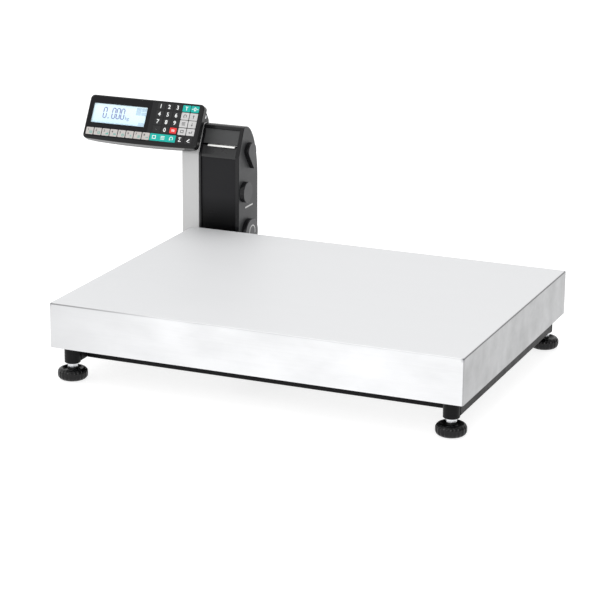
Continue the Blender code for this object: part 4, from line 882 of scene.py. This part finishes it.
def make_printer(black, gloss, grey, satin):
    """The housing, open at its front and its cassette side, and the three parts of its front."""
    left, right = housing_low.x, housing_high.x
    opening_low = BOTTOM + FRONT_SILL
    opening_left = left + FRAME_STRIP
    body = prism(side_outline(), "X", left, right)
    soften(body, 0.0012, 3, radians(28), lambda edge: across(edge) and edge.verts[0].co.x < left + 0.001)
    inside = prism(side_outline(PRINTER_WALL, BOTTOM + PRINTER_WALL), "X", left + PRINTER_WALL,
                   right + PRINTER_WALL)
    opening = prism(front_band(opening_low, HATCH_TOP, -PAST, PRINTER_WALL * 2), "X", opening_left,
                    right + PAST)
    inlet_low, inlet_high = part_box("power_inlet")
    rocker_low, rocker_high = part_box("power_switch")
    rim, middle = SOCKET_RIM - PANEL_GAP, joint_at["switch_rock"].z
    socket = block((inlet_low.x + rim, BACK - PAST, inlet_low.z + rim),
                   (inlet_high.x - rim, BACK + PAST, inlet_high.z - rim))
    rocker = block((rocker_low.x - PANEL_GAP, BACK - PAST, middle - ROCKER_HALF),
                   (rocker_high.x + PANEL_GAP, BACK + PAST, middle + ROCKER_HALF))
    body = cut(body, inside, opening, shaft_hole(left), socket, rocker)
    piece("printer_housing_moulded", body, "base", black, "black_plastic", "printer_housing")

    low, high = opening_left + PANEL_GAP, right - PANEL_GAP
    lip_low = BEND_HEIGHT - PANEL_TOP_BELOW_BEND
    panel = prism(front_band(opening_low + PANEL_GAP, lip_low - PANEL_GAP, PANEL_RECESS,
                             PANEL_RECESS + PANEL_THICKNESS), "X", low, high)
    piece("printer_panel_polished", soften(panel, 0.0005), "base", gloss, "gloss_black",
          "printer_front_panel")
    lip = prism(front_band(lip_low, SLOT_STATION, LIP_RECESS, LIP_RECESS + PANEL_THICKNESS), "X", low, high)
    piece("printer_lip_moulded", soften(lip, 0.0006), "base", satin, "black_plastic", "printer_lip")
    hatch = prism(front_band(SLOT_STATION + SLOT_HEIGHT, HATCH_TOP - PANEL_GAP, HATCH_RECESS,
                             HATCH_RECESS + PANEL_THICKNESS), "X", low, high)
    piece("printer_hatch_moulded", soften(hatch, 0.0005), "base", grey, "dark_plastic", "printer_hatch")


def make_rear_fittings(black, zinc):
    """The mains inlet with its three blades, and the rocker."""
    piece("power_inlet_moulded", refined("power_inlet", 0.0005), "base", black, "black_plastic",
          "power_inlet")
    low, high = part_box("power_inlet")
    middle = (low + high) / 2
    half, tall = BLADE_HALF
    blades = []
    for x, z in INLET_BLADES:
        blade = block((middle.x + x - half, low.y + 0.0024, middle.z + z - tall),
                      (middle.x + x + half, high.y - 0.0050, middle.z + z + tall))
        blades.append(soften(blade, 0.0005))
    piece("inlet_blades", together(*blades), "base", zinc, "zinc_plate")
    piece("power_rocker", refined("power_switch", 0.0006, 3, radians(50)), "switch", black, "black_plastic",
          "power_switch")


# -------------------------------------------------------------------- cassette

KNOB_START = cover_high.x + PANEL_GAP


def make_cover(cover_finish, metal, light):
    """The side cover with its three bosses and its mark, and the plate behind it."""
    low, high = cover_low, cover_high
    cover = prism(side_outline(), "X", low.x, high.x)
    soften(cover, 0.0016, 4, radians(28), lambda edge: across(edge) and edge.verts[0].co.x > high.x - 0.001)
    cover = cut(cover, prism(side_outline(COVER_WALL, BOTTOM + COVER_WALL), "X", low.x - PAST,
                             high.x - COVER_WALL))
    boss = drum(BOSS_RADIUS, low.x, high.x - COVER_WALL * 0.6, bore=BOSS_BORE)
    bosses = [round_x(boss, joint_at[joint], 48)
              for joint in ("label_roll_turn", "liner_rewind_turn", "head_lift_turn")]
    piece("cassette_cover_moulded", together(cover, *bosses), "cassette", cover_finish, "dark_plastic",
          "cassette_cover")
    piece("cassette_plate_pressed", refined("cassette_plate", 0.0003, 1), "cassette", metal, "zinc_plate",
          "cassette_plate")
    rewinder = joint_at["liner_rewind_turn"]
    mark = [(rewinder.y + MARK_FROM_REWINDER[0] + a, rewinder.z + MARK_FROM_REWINDER[1] + b)
            for a, b in rounded_box(0, 0, *MARK_SIZE, 0.0012)]
    piece("cover_mark", prism(mark, "X", high.x, high.x + 0.00025), "cassette", light, "label_paper")


def knob(node, centre):
    """A knob outside the cover, as wide as its CAD node."""
    low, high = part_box(node)
    radius = (high.z - low.z) / 2
    profile = [(0, KNOB_START), (radius - 0.0006, KNOB_START), (radius, KNOB_START + 0.0006)]
    profile += [(radius - KNOB_EDGE + a, high.x - KNOB_EDGE + b)
                for a, b in arc((0, 0), KNOB_EDGE, 0, pi / 2, 5)]
    return round_x(profile + [(0, high.x)], centre, 96)


def spindle(radius, start, end, centre, steps):
    """A drum inside the cassette, with a thinner shaft that reaches into its knob."""
    knob_reach = KNOB_START + HUB_SHAFT_INTO_KNOB
    return round_x([(0, start), (radius - 0.0008, start), (radius, start + 0.0008), (radius, end),
                    (HUB_SHAFT, end), (HUB_SHAFT, knob_reach), (0, knob_reach)], centre, steps)


def make_spindles(knob_finish, paper, light):
    """The label roll on its hub, and the liner rewinder, each with its knob."""
    roll_low, roll_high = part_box("label_roll")
    centre = joint_at["label_roll_turn"]
    hub = spindle(ROLL_CORE, roll_low.x, roll_high.x, centre, 72)
    piece("roll_hub_and_knob", together(hub, knob("roll_hub_knob", centre)), "roll", knob_finish,
          "dark_plastic", "roll_hub_knob")
    wound = drum((roll_high.z - roll_low.z) / 2, roll_low.x, roll_high.x, ROLL_EDGE, ROLL_CORE + ROLL_EDGE)
    piece("label_roll_wound", round_x(wound, centre, 96), "roll", paper, "label_paper", "label_roll")
    arrow_lines = ring_arrow((centre.y + 0.002, centre.z + 0.004), ARROW_RADIUS, ARROW_WIDTH, radians(-20),
                             radians(215))
    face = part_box("roll_hub_knob")[1].x
    piece("turn_arrow", prism_all(arrow_lines, "X", face, face + 0.00012), "roll", light, "label_paper",
          weighted=False)

    centre = joint_at["liner_rewind_turn"]
    spool = spindle(SPOOL_RADIUS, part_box("liner_rewind_knob")[0].x, roll_high.x - 0.001, centre, 64)
    piece("rewind_spool_and_knob", together(spool, knob("liner_rewind_knob", centre)), "rewinder",
          knob_finish, "dark_plastic", "liner_rewind_knob")


def make_lever(finish):
    """The drop-shaped lever, its shaft, and the cam at the shaft's end."""
    centre = joint_at["head_lift_turn"]
    low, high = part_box("head_lift_lever")
    y, z, radius, tail = centre.y, centre.z, high.y - centre.y, centre.z - low.z
    outline = arc((y, z), radius, radians(178), radians(-20), 48)
    outline += [(y + 0.012, z - tail), (y + 0.007, z - tail), (y - radius + 0.002, z - 0.003)]
    lever = soften(prism(outline, "X", KNOB_START, high.x), 0.0014, 4, radians(28), across)
    shaft = round_x(drum(HUB_SHAFT, low.x, KNOB_START + 0.003), centre, 48)
    cam_start = low.x + 0.002
    cam = round_x(drum(CAM_RADIUS, cam_start, cam_start + CAM_LENGTH, 0.0004),
                  centre + Vector((0, CAM_OFFSET, 0)), 48)
    piece("head_lift_lever_moulded", together(lever, shaft, cam), "lever", finish, "dark_plastic",
          "head_lift_lever")


# ---------------------------------------------------------------- flat symbols

def prism_all(outlines, axis, start, end):
    """Closed solids of several outlines, in one mesh."""
    return together(*[prism(outline, axis, start, end) for outline in outlines])


def ribbon(points, width):
    """The outline of a line of one width through some points."""
    one_side, other_side = [], []
    for k, (x, z) in enumerate(points):
        before, after = points[max(k - 1, 0)], points[min(k + 1, len(points) - 1)]
        run = Vector((after[0] - before[0], after[1] - before[1])).normalized() * (width / 2)
        one_side.append((x - run.y, z + run.x))
        other_side.append((x + run.y, z - run.x))
    return one_side + other_side[::-1]


def tip(point, direction, size):
    """An arrow's head, with its point a little beyond the given one."""
    along = Vector(direction).normalized() * size
    side = Vector((-along.y, along.x)) * 0.75
    x, z = point
    return [(x + along.x, z + along.y), (x + side.x, z + side.y), (x - side.x, z - side.y)]


def arrow(first, last, width):
    """A straight arrow between two points."""
    run = (last[0] - first[0], last[1] - first[1])
    return [ribbon([first, last], width), tip(last, run, width * 2.4)]


def ring_arrow(centre, radius, width, start, end):
    """An arc that ends in an arrow's head."""
    line = arc(centre, radius, start, end, 28)
    turn = 1 if end > start else -1
    return [ribbon(line, width), tip(line[-1], (-sin(end) * turn, cos(end) * turn), width * 1.9)]


def bars(places, left, right, width):
    """Level bars, one at each height."""
    return [ribbon([(left, z), (right, z)], width) for z in places]


def frame_lines(left, bottom, right, top, width):
    """The four lines of a rectangle's frame."""
    half = width / 2
    return [ribbon([(left - half, bottom), (right + half, bottom)], width),
            ribbon([(left - half, top), (right + half, top)], width),
            ribbon([(left, bottom + half), (left, top - half)], width),
            ribbon([(right, bottom + half), (right, top - half)], width)]


def symbol(kind, x, z, size):
    """A small generic symbol around a point, as outlines."""
    line = 0.13
    drawn = {
        "turn": lambda: ring_arrow((0, 0), 0.36, line, radians(-50), radians(215)),
        "up": lambda: arrow((0, -0.45), (0, 0.15), line),
        "down": lambda: arrow((0, 0.45), (0, -0.15), line),
        "right": lambda: arrow((-0.45, 0), (0.15, 0), line),
        "enter": lambda: [ribbon([(0.38, 0.4), (0.38, -0.1)], line)] + arrow((0.44, -0.16),
                                                                            (-0.15, -0.16), line),
        "bars": lambda: bars((-0.3, 0, 0.3), -0.45, 0.45, line),
        "pair": lambda: bars((-0.15, 0.15), -0.45, 0.45, line * 1.2),
        "box": lambda: frame_lines(-0.36, -0.3, 0.36, 0.3, line),
        "card": lambda: frame_lines(-0.4, -0.3, 0.4, 0.3, line) + bars((0,), -0.2, 0.2, line),
        "sum": lambda: [ribbon(points, line * 1.15) for points in (
            [(-0.34, 0.42), (0.34, 0.42)], [(-0.3, 0.4), (0.06, 0)], [(0.06, 0), (-0.3, -0.4)],
            [(-0.34, -0.42), (0.34, -0.42)])],
        "tare": lambda: [ribbon([(-0.34, 0.4), (0.34, 0.4)], line * 1.3),
                         ribbon([(0, 0.36), (0, -0.46)], line * 1.3)],
        "pen": lambda: [ribbon([(-0.2, -0.2), (0.3, 0.3)], line * 1.9),
                        tip((-0.22, -0.22), (-1, -1), 0.24)] + bars((-0.44,), -0.1, 0.45, line),
        "plus": lambda: [ribbon([(-0.35, 0), (0.35, 0)], line), ribbon([(0, -0.35), (0, 0.35)], line)],
        "clock": lambda: [ribbon(arc((0, 0), 0.4, 0, radians(350), 24), line),
                          ribbon([(0, 0.26), (0, 0), (0.2, 0)], line)],
        "steps": lambda: [ribbon([(a, -0.36), (a, b)], line * 1.4)
                          for a, b in ((-0.42, -0.1), (-0.14, 0.08), (0.14, 0.24), (0.42, 0.42))],
    }[kind]()
    return [[(x + a * size, z + b * size) for a, b in outline] for outline in drawn]


def lettering(text, height, x, z, front, thickness, heavy=True):
    """Raised characters in the head's directions, centred on a point."""
    curve = bpy.data.curves.new("work", "FONT")
    curve.body = text
    curve.size = height / 0.72
    curve.align_x = "CENTER"
    curve.align_y = "CENTER"
    curve.resolution_u = 4
    curve.offset = height * LETTER_WEIGHT if heavy else 0.0
    curve.extrude = thickness / 2
    written = bpy.data.objects.new("work", curve)
    bpy.context.scene.collection.objects.link(written)
    bpy.context.view_layer.update()
    made = bpy.data.meshes.new_from_object(written.evaluated_get(bpy.context.evaluated_depsgraph_get()))
    bm = bmesh.new()
    bm.from_mesh(made)
    bpy.data.objects.remove(written)
    bpy.data.meshes.remove(made)
    bpy.data.curves.remove(curve)
    bmesh.ops.transform(bm, matrix=Matrix.Rotation(pi / 2, 4, "X"), verts=bm.verts)
    low = [min(vert.co[k] for vert in bm.verts) for k in (0, 2)]
    high = [max(vert.co[k] for vert in bm.verts) for k in (0, 2)]
    shift = (x - (low[0] + high[0]) / 2, front + thickness / 2, z - (low[1] + high[1]) / 2)
    bmesh.ops.translate(bm, verts=bm.verts, vec=shift)
    return bm


# ------------------------------------------------------------------------ head

hinge = joint_at["head_tilt"]
head_place = (Matrix.Translation(hinge) @ Matrix.Rotation(-HEAD_TILT, 4, "X")
              @ Matrix.Translation((-hinge.x, -HINGE_BEHIND_FACE, -HINGE_UP_FACE)))


def on_head(name, bm, finish, slot, *nodes, **shading):
    """A piece laid out flat in the head's directions, then tilted into its place."""
    bm.transform(head_place)
    return piece(name, bm, "head", finish, slot, *nodes, **shading)


def chinned(inset, front, back, edge=0.0):
    """A slab of the head's outline, whose lower edge hangs below it in a shallow curve."""
    left, right = head_left + inset, head_left + HEAD_WIDTH - inset
    low, radius = inset - CHIN, HEAD_CORNER - inset
    outline = rounded_box(left, low, right, HEAD_HEIGHT - inset, radius)
    start, span = left + radius, right - left - 2 * radius
    curve = [(start + span * k / CHIN_STEPS, low - CHIN_BULGE * 4 * k * (CHIN_STEPS - k) / CHIN_STEPS ** 2)
             for k in range(1, CHIN_STEPS)]
    corner = len(outline) * 3 // 4
    bm = prism(outline[:corner] + curve + outline[corner:], "Y", front, back)
    if edge:
        soften(bm, edge, 4, radians(60), lying_at(1, front))
    return bm


def plate(left, bottom, right, top, corner, front, back, edge=0.0, steps=8):
    """A flat plate: across from the head's left, up its face, and behind it."""
    outline = rounded_box(head_left + left, bottom, head_left + right, top, corner, steps)
    bm = prism(outline, "Y", front, back)
    if edge:
        soften(bm, edge, 4, radians(60), lying_at(1, front))
    return bm


def lcd_plate(grown, corner, front, back, edge=0.0):
    """A plate of the display's outline, grown by a margin."""
    return plate(LCD_LEFT - grown, LCD_BOTTOM - grown, LCD_LEFT + LCD_WIDTH + grown,
                 LCD_BOTTOM + LCD_HEIGHT + grown, corner, front, back, edge)


def face_plate(rim, corner, front, back, edge=0.0):
    """A plate of the head's face, inside a rim."""
    return plate(rim, rim, HEAD_WIDTH - rim, HEAD_HEIGHT - rim, corner, front, back, edge)


def tapered(thick, start, end, edge=0.0):
    """A slab of the head's outline, drawn in by a wall, that narrows towards its back."""
    bm = chinned(thick, start, end)
    middle, low = head_left + HEAD_WIDTH / 2, thick - CHIN
    narrower = 1 - 2 * TAPER_SIDE / (HEAD_WIDTH - 2 * thick)
    flatter = 1 - (TAPER_TOP + TAPER_BOTTOM) / (HEAD_HEIGHT - thick - low)
    for vert in bm.verts:
        if vert.co.y > (start + end) / 2:
            vert.co.x = middle + (vert.co.x - middle) * narrower
            vert.co.z = low + TAPER_BOTTOM + (vert.co.z - low) * flatter
    if edge:
        soften(bm, edge, 4, radians(40), lying_at(1, end))
    return bm


def screw(x, z):
    """A domed head with a cross recess, on the head's back."""
    back = HEAD_DEPTH
    head = turned([(0, back - 0.0008), (SCREW_RADIUS, back - 0.0008), (SCREW_RADIUS, back + 0.0002),
                   (0.0022, back + 0.0010), (0.0008, back + 0.0013), (0, back + 0.0013)], "Y", (x, z), 32)
    for wide, tall in ((0.0016, 0.00028), (0.00028, 0.0016)):
        head = cut(head, block((x - wide, back + 0.0004, z - tall), (x + wide, back + 0.002, z + tall)))
    return head


def make_head_shells(black, dark, film_finish, pane_finish, zinc):
    """The bezel with its recess and window, the film and pane in them, and the rear shell."""
    bezel = chinned(0, 0, BEZEL_DEPTH, 0.0022)
    inside = chinned(PRINTER_WALL, FACE_WALL, BEZEL_DEPTH + PAST)
    recess = face_plate(BEZEL_RIM, HEAD_CORNER - 0.002, -PAST, FILM_BACK + PANEL_GAP)
    window = lcd_plate(PANEL_GAP, WINDOW_CORNER, -PAST, FACE_WALL + PAST)
    on_head("head_bezel_moulded", cut(bezel, inside, recess, window), black, "black_plastic", "head_bezel")

    film = face_plate(BEZEL_RIM + PANEL_GAP, HEAD_CORNER - 0.002 - PANEL_GAP, FILM_FRONT, FILM_BACK, 0.0002)
    opening = lcd_plate(PANEL_GAP, WINDOW_CORNER, -PAST, PAST)
    on_head("keypad_film_printed", cut(film, opening), film_finish, "keypad_film", "keypad_film")
    pane = lcd_plate(0, WINDOW_CORNER - 0.0002, FILM_FRONT, FILM_FRONT + PANE_THICKNESS, 0.0002)
    on_head("display_window_pane", pane, pane_finish, "display_pane", "display_window")

    start = BEZEL_DEPTH + PANEL_GAP
    shell = cut(tapered(0, start, HEAD_DEPTH, 0.0030),
                tapered(PRINTER_WALL, start - 0.001, HEAD_DEPTH - PRINTER_WALL))
    on_head("head_rear_shell_moulded", shell, dark, "dark_plastic", "head_rear_shell")
    across_in, up_in = SCREW_IN
    screws = [screw(head_left + x, z) for x in (across_in, HEAD_WIDTH - across_in)
              for z in (up_in, HEAD_HEIGHT - up_in)]
    on_head("head_screws", together(*screws), zinc, "zinc_plate", weighted=False)


def key(left, bottom, right, top):
    """A key's raised print, by its edges."""
    return plate(left, bottom, right, top, KEY_CORNER, -KEY_PROUD, FILM_FRONT + 0.00005, 0.0003, 4)


def low_key(left, right):
    """A key in the lowest row."""
    return key(left, KEY_BASE, right, KEY_BASE + KEY_TALL)


def centred_key(x, z, wide, tall):
    """A key's raised print, round a point."""
    return key(x - wide / 2, z - tall / 2, x + wide / 2, z + tall / 2)


def make_keypad(inks):
    """The printed keys beside and under the display, and their legends."""
    keys = {name: [] for name in ("light", "pale", "teal", "red", "dark")}
    written = {name: [] for name in ("black", "green", "white")}
    front = -KEY_PROUD - INK_ABOVE_KEY

    def write(ink_name, text, height, x, z):
        written[ink_name].append(lettering(text, height, head_left + x, z, front, INK))

    def draw_lines(ink_name, outlines):
        written[ink_name].append(prism_all(outlines, "Y", front, front + INK))

    def draw(ink_name, kind, x, z, size=ICON_SIZE):
        draw_lines(ink_name, symbol(kind, head_left + x, z, size))

    for k, icon in enumerate(SOFT_ICONS):
        left = SOFT_KEY_START + k * SOFT_KEY_PITCH
        keys["light"].append(low_key(left, left + SOFT_KEY_WIDE))
        write("black", str(k + 1), 0.0046, left + 0.0050, KEY_BASE + 0.0103)
        draw("green", icon, left + 0.0115, KEY_BASE + 0.0050, 0.0062)

    middle = KEY_BASE + KEY_TALL / 2
    keys["teal"].append(low_key(*WIDE_KEY))
    zone = (WIDE_KEY[1] - WIDE_KEY[0]) / 3
    for k, icon in enumerate(("box", "bars", "turn")):
        draw("white", icon, WIDE_KEY[0] + zone * (k + 0.5), middle, 0.0098)
    for icon, ends, size in (("sum", SUM_KEY, 0.0092), ("pen", PEN_KEY, ICON_SIZE)):
        keys["dark"].append(low_key(*ends))
        draw("white", icon, sum(ends) / 2, middle, size)

    for legends, z in zip(DIGITS, DIGIT_ROWS):
        for legend, x in zip(legends, DIGIT_MIDDLE):
            keys["dark"].append(centred_key(x, z, *DIGIT_KEY))
            write("white", legend, POINT_TALL if legend == "." else DIGIT_TALL, x + DIGIT_SHIFT, z)
    red_x, red_z = DIGIT_MIDDLE[2] + DIGIT_SHIFT, DIGIT_ROWS[3] + RED_KEY_UP
    keys["red"].append(centred_key(red_x, red_z, *RED_KEY))
    draw("white", "pair", red_x, red_z, 0.0080)

    for (colour, low, high), pair in zip(FUNCTION_ROWS, FUNCTION_ICONS):
        for left, icon in zip(FUNCTION_START, pair):
            keys[colour].append(key(left, low + FUNCTION_GAP, left + FUNCTION_WIDE, high - FUNCTION_GAP))
            x, z = left + FUNCTION_WIDE / 2, (low + high) / 2
            if icon == "zero":
                write("white", "0", 0.0080, x, z)
                for side in (-1, 1):
                    start, end = [head_left + x + side * far for far in (0.0080, 0.0052)]
                    draw_lines("white", arrow((start, z), (end, z), 0.0008))
            else:
                draw("white" if colour == "teal" else "black", icon, x, z)

    for name, made in keys.items():
        on_head("keys_" + name, together(*made), inks[name], "keypad_film")
    for name, made in written.items():
        on_head("legends_" + name, together(*made), inks["ink_" + name], "keypad_film", weighted=False)


def segment(first, last, width):
    """One bar of a figure, pointed at both ends."""
    a, b = Vector(first), Vector(last)
    run = (b - a).normalized() * (width / 2)
    side = Vector((-run.y, run.x))
    a, b = a + run * 0.25, b - run * 0.25
    return [tuple(point) for point in (a, a + run + side, b - run + side, b, b - run - side, a + run - side)]


def nought(left, bottom, wide, tall, width):
    """The six lit bars of a nought."""
    low, mid, high = bottom + width / 2, bottom + tall / 2, bottom + tall - width / 2
    first, last = left + width / 2, left + wide - width / 2
    pairs = (((first, low), (last, low)), ((first, high), (last, high)), ((first, low), (first, mid)),
             ((first, mid), (first, high)), ((last, low), (last, mid)), ((last, mid), (last, high)))
    return [segment(a, b, width) for a, b in pairs]


def head_box(left, bottom, right, top, shift=0.0):
    """A rectangle's outline, from its places across from the head's left."""
    left, right = head_left + left + shift, head_left + right + shift
    return [(left, bottom), (right, bottom), (right, top), (left, top)]


def make_display(lit, faint):
    """Figures on the liquid crystal, and the fainter marks round them."""
    front = FACE_WALL + PANEL_GAP - 0.00012
    figures = [head_box(*POINT)]
    for left in FIGURE_LEFT:
        figures += nought(head_left + left, FIGURE_BASE, *FIGURE_SIZE, BAR_WIDTH)
    unit_x, unit_z = UNIT_MIDDLE
    unit = lettering("kg", UNIT_TALL, head_left + unit_x, unit_z, front, INK, False)
    on_head("figures", together(prism_all(figures, "Y", front, front + INK), unit), lit, "display_panel",
            weighted=False)
    marks = [head_box(*block_edges) for block_edges in FAINT_BLOCKS]
    marks += [head_box(*FAINT_DASH, k * FAINT_PITCH) for k in range(FAINT_DASHES)]
    on_head("faint_marks", prism_all(marks, "Y", front, front + INK), faint, "display_panel",
            weighted=False)


# ----------------------------------------------------------------------- looks

# Top corners of the tray, where the steel gets its spots of painted shade
shaded_corner_spots = [Vector((x, y, tray_high.z - 0.001)) for x in (tray_low.x, tray_high.x)
                for y in (tray_low.y, tray_high.y)]
roll_middle = joint_at["label_roll_turn"].yz
lcd_low = head_place @ Vector((head_left, 0, LCD_BOTTOM))
lcd_high = head_place @ Vector((head_left, 0, LCD_BOTTOM + LCD_HEIGHT))

steel = brushed_steel("brushed stainless", corners=shaded_corner_spots)
frame_paint = powder_coat("frame paint", (0.0035, 0.0035, 0.004), 0.42)
column_paint = powder_coat("column paint", (0.53, 0.53, 0.53), 0.42, 0.12)
housing_black = moulding("black moulding", (0.009, 0.009, 0.010), 0.20, 0.05)
lip_satin = moulding("satin lip", (0.030, 0.030, 0.031), 0.30, 0.12)
panel_black = polished_black("polished panel")
hatch_grey = moulding("dark hatch", (0.058, 0.059, 0.060), 0.46, 0.22)
cover_grey = moulding_with_painted_light("cassette cover", (0.008, 0.008, 0.009), (0.054, 0.055, 0.057), 0.18, 0.48)
knob_grey = moulding_with_painted_light("knobs", (0.006, 0.006, 0.007), (0.062, 0.063, 0.066), 0.16, 0.42)
foot_black = moulding("foot moulding", (0.0025, 0.0025, 0.003), 0.24, 0.15)
bezel_black = moulding("head bezel", (0.0075, 0.0075, 0.008), 0.18, 0.04)
shell_grey = moulding("rear shell", (0.016, 0.016, 0.017), 0.38, 0.25)
zinc = bare_metal("bright zinc", (0.72, 0.73, 0.75), 0.26)
aluminium = bare_metal("bare aluminium", (0.78, 0.79, 0.80), 0.38)
black_rubber = rubber("rubber")
paper = label_paper("label paper", roll_middle)
light_mark = moulding("light print", (0.62, 0.62, 0.61), 0.4, 0.05, fine=1.05)

SLOT_FINISH = {
    "tray_steel": steel, "frame_paint": frame_paint, "column_paint": column_paint,
    "black_plastic": housing_black, "dark_plastic": shell_grey, "gloss_black": panel_black,
    "keypad_film": keypad_film("keypad film", head_left + LENS_RIGHT), "rubber": black_rubber,
    "label_paper": paper, "display_pane": display_glass("display pane"),
    "display_panel": display_panel("display panel", lcd_low.z, lcd_high.z),
    "circuit_board": circuit("circuit board"), "bare_aluminium": aluminium, "zinc_plate": zinc,
}

make_tray(steel)
make_frame(frame_paint)
for corner in ("front_left", "front_right", "rear_left", "rear_right"):
    foot_middle = joint_at["foot_turn_" + corner]
    make_foot_knob(corner, foot_middle, foot_black)
    make_foot_stud(corner, foot_middle, zinc)
    make_locknut(corner, foot_middle, zinc)
make_column(column_paint)
make_printer(housing_black, panel_black, hatch_grey, lip_satin)
make_rear_fittings(housing_black, zinc)
make_cover(cover_grey, zinc, light_mark)
make_spindles(knob_grey, paper, light_mark)
make_lever(knob_grey)
piece("platen_roller_ground", refined("platen_roller", 0.0003, 2), "platen", black_rubber, "rubber",
      "platen_roller")
make_head_shells(bezel_black, shell_grey, SLOT_FINISH["keypad_film"], SLOT_FINISH["display_pane"], zinc)
make_keypad({
    "light": keypad_print("light keys", (0.50, 0.475, 0.455)),
    "pale": keypad_print("pale keys", (0.54, 0.535, 0.535)),
    "teal": keypad_print("teal keys", (0.010, 0.40, 0.345)),
    "red": keypad_print("red key", (0.72, 0.042, 0.040)),
    "dark": keypad_print("dark keys", (0.020, 0.020, 0.021)),
    "ink_black": keypad_print("black ink", (0.03, 0.03, 0.032)),
    "ink_green": keypad_print("green ink", (0.015, 0.36, 0.30)),
    "ink_white": keypad_print("white ink", (0.86, 0.87, 0.87)),
})
make_display(keypad_print("figure ink", (0.10, 0.10, 0.36), 0.3),
             keypad_print("faint ink", (0.50, 0.68, 0.82), 0.3))
piece("neck_block_cast", refined("neck_block", 0.0006, 3), "base", shell_grey, "black_plastic", "neck_block")
piece("neck_yoke_cast", refined("neck_yoke", 0.0005, 3), "head", shell_grey, "black_plastic", "neck_yoke")
piece("hinge_pin_turned", refined("hinge_pin", 0.0004, 2), "base", zinc, "zinc_plate", "hinge_pin")

slot_of = {part["node"]: part["material_slot"] for part in frame["record"]["subparts"]}
for name, node in frame["nodes"].items():
    if not node.hide_render:
        node.data.materials.clear()
        node.data.materials.append(SLOT_FINISH[slot_of[name]])

# ------------------------------------------------------------- floor and light

floor_mesh = bmesh.new()
bmesh.ops.create_grid(floor_mesh, x_segments=2, y_segments=2, size=FLOOR_HALF)
floor_data = bpy.data.meshes.new("floor")
floor_mesh.to_mesh(floor_data)
floor_mesh.free()
floor_data.materials.append(studio_floor("pale floor"))
floor = bpy.data.objects.new("floor", floor_data)
floor.location.z = -FLOOR_DROP
bpy.context.scene.collection.objects.link(floor)

world = bpy.data.worlds.new("studio")
world.use_nodes = True
sky = world.node_tree.nodes["Background"]
sky.inputs["Strength"].default_value = SKY_STRENGTH
towards = world.node_tree.nodes.new("ShaderNodeTexCoord")
split = world.node_tree.nodes.new("ShaderNodeSeparateXYZ")
dimming = world.node_tree.nodes.new("ShaderNodeMapRange")
dimming.inputs["From Min"].default_value = SKY_TURN[0]
dimming.inputs["From Max"].default_value = SKY_TURN[1]
dimming.inputs["To Min"].default_value = 1.0
dimming.inputs["To Max"].default_value = SKY_RIGHT
world.node_tree.links.new(towards.outputs["Generated"], split.inputs[0])
world.node_tree.links.new(split.outputs[0], dimming.inputs["Value"])
world.node_tree.links.new(dimming.outputs[0], sky.inputs["Color"])
bpy.context.scene.world = world
bpy.context.scene.view_settings.view_transform = "Standard"

middle = Vector(((tray_low.x + tray_high.x) / 2, (tray_low.y + tray_high.y) / 2, tray_high.z))

# Large soft panels, each at an offset from the tray's middle and turned to face it
for light_name, offset, size, power in LIGHTS:
    panel = bpy.data.lights.new(light_name, "AREA")
    panel.size = size
    panel.energy = power
    light = bpy.data.objects.new(light_name, panel)
    light.location = middle + Vector(offset)
    light.rotation_euler = (-Vector(offset)).to_track_quat("-Z", "Y").to_euler()
    bpy.context.scene.collection.objects.link(light)

# ---------------------------------------------------------------------- camera

out = Vector((sin(VIEW_AZIMUTH) * cos(VIEW_ELEVATION), -cos(VIEW_AZIMUTH) * cos(VIEW_ELEVATION),
              sin(VIEW_ELEVATION)))
level_right = Vector((cos(VIEW_AZIMUTH), sin(VIEW_AZIMUTH), 0))
level_up = out.cross(level_right)
right = level_right * cos(VIEW_ROLL) + level_up * sin(VIEW_ROLL)
up = level_up * cos(VIEW_ROLL) - level_right * sin(VIEW_ROLL)
lens = bpy.data.cameras.new("camera")
lens.lens = LENS_MM
lens.sensor_width = 36
lens.clip_end = 40
camera = bpy.data.objects.new("camera", lens)
place = Matrix((right, up, out)).transposed().to_4x4()
place.translation = middle + right * VIEW_ASIDE[0] + up * VIEW_ASIDE[1] + out * VIEW_DISTANCE
camera.matrix_world = place
bpy.context.scene.collection.objects.link(camera)
bpy.context.scene.camera = camera
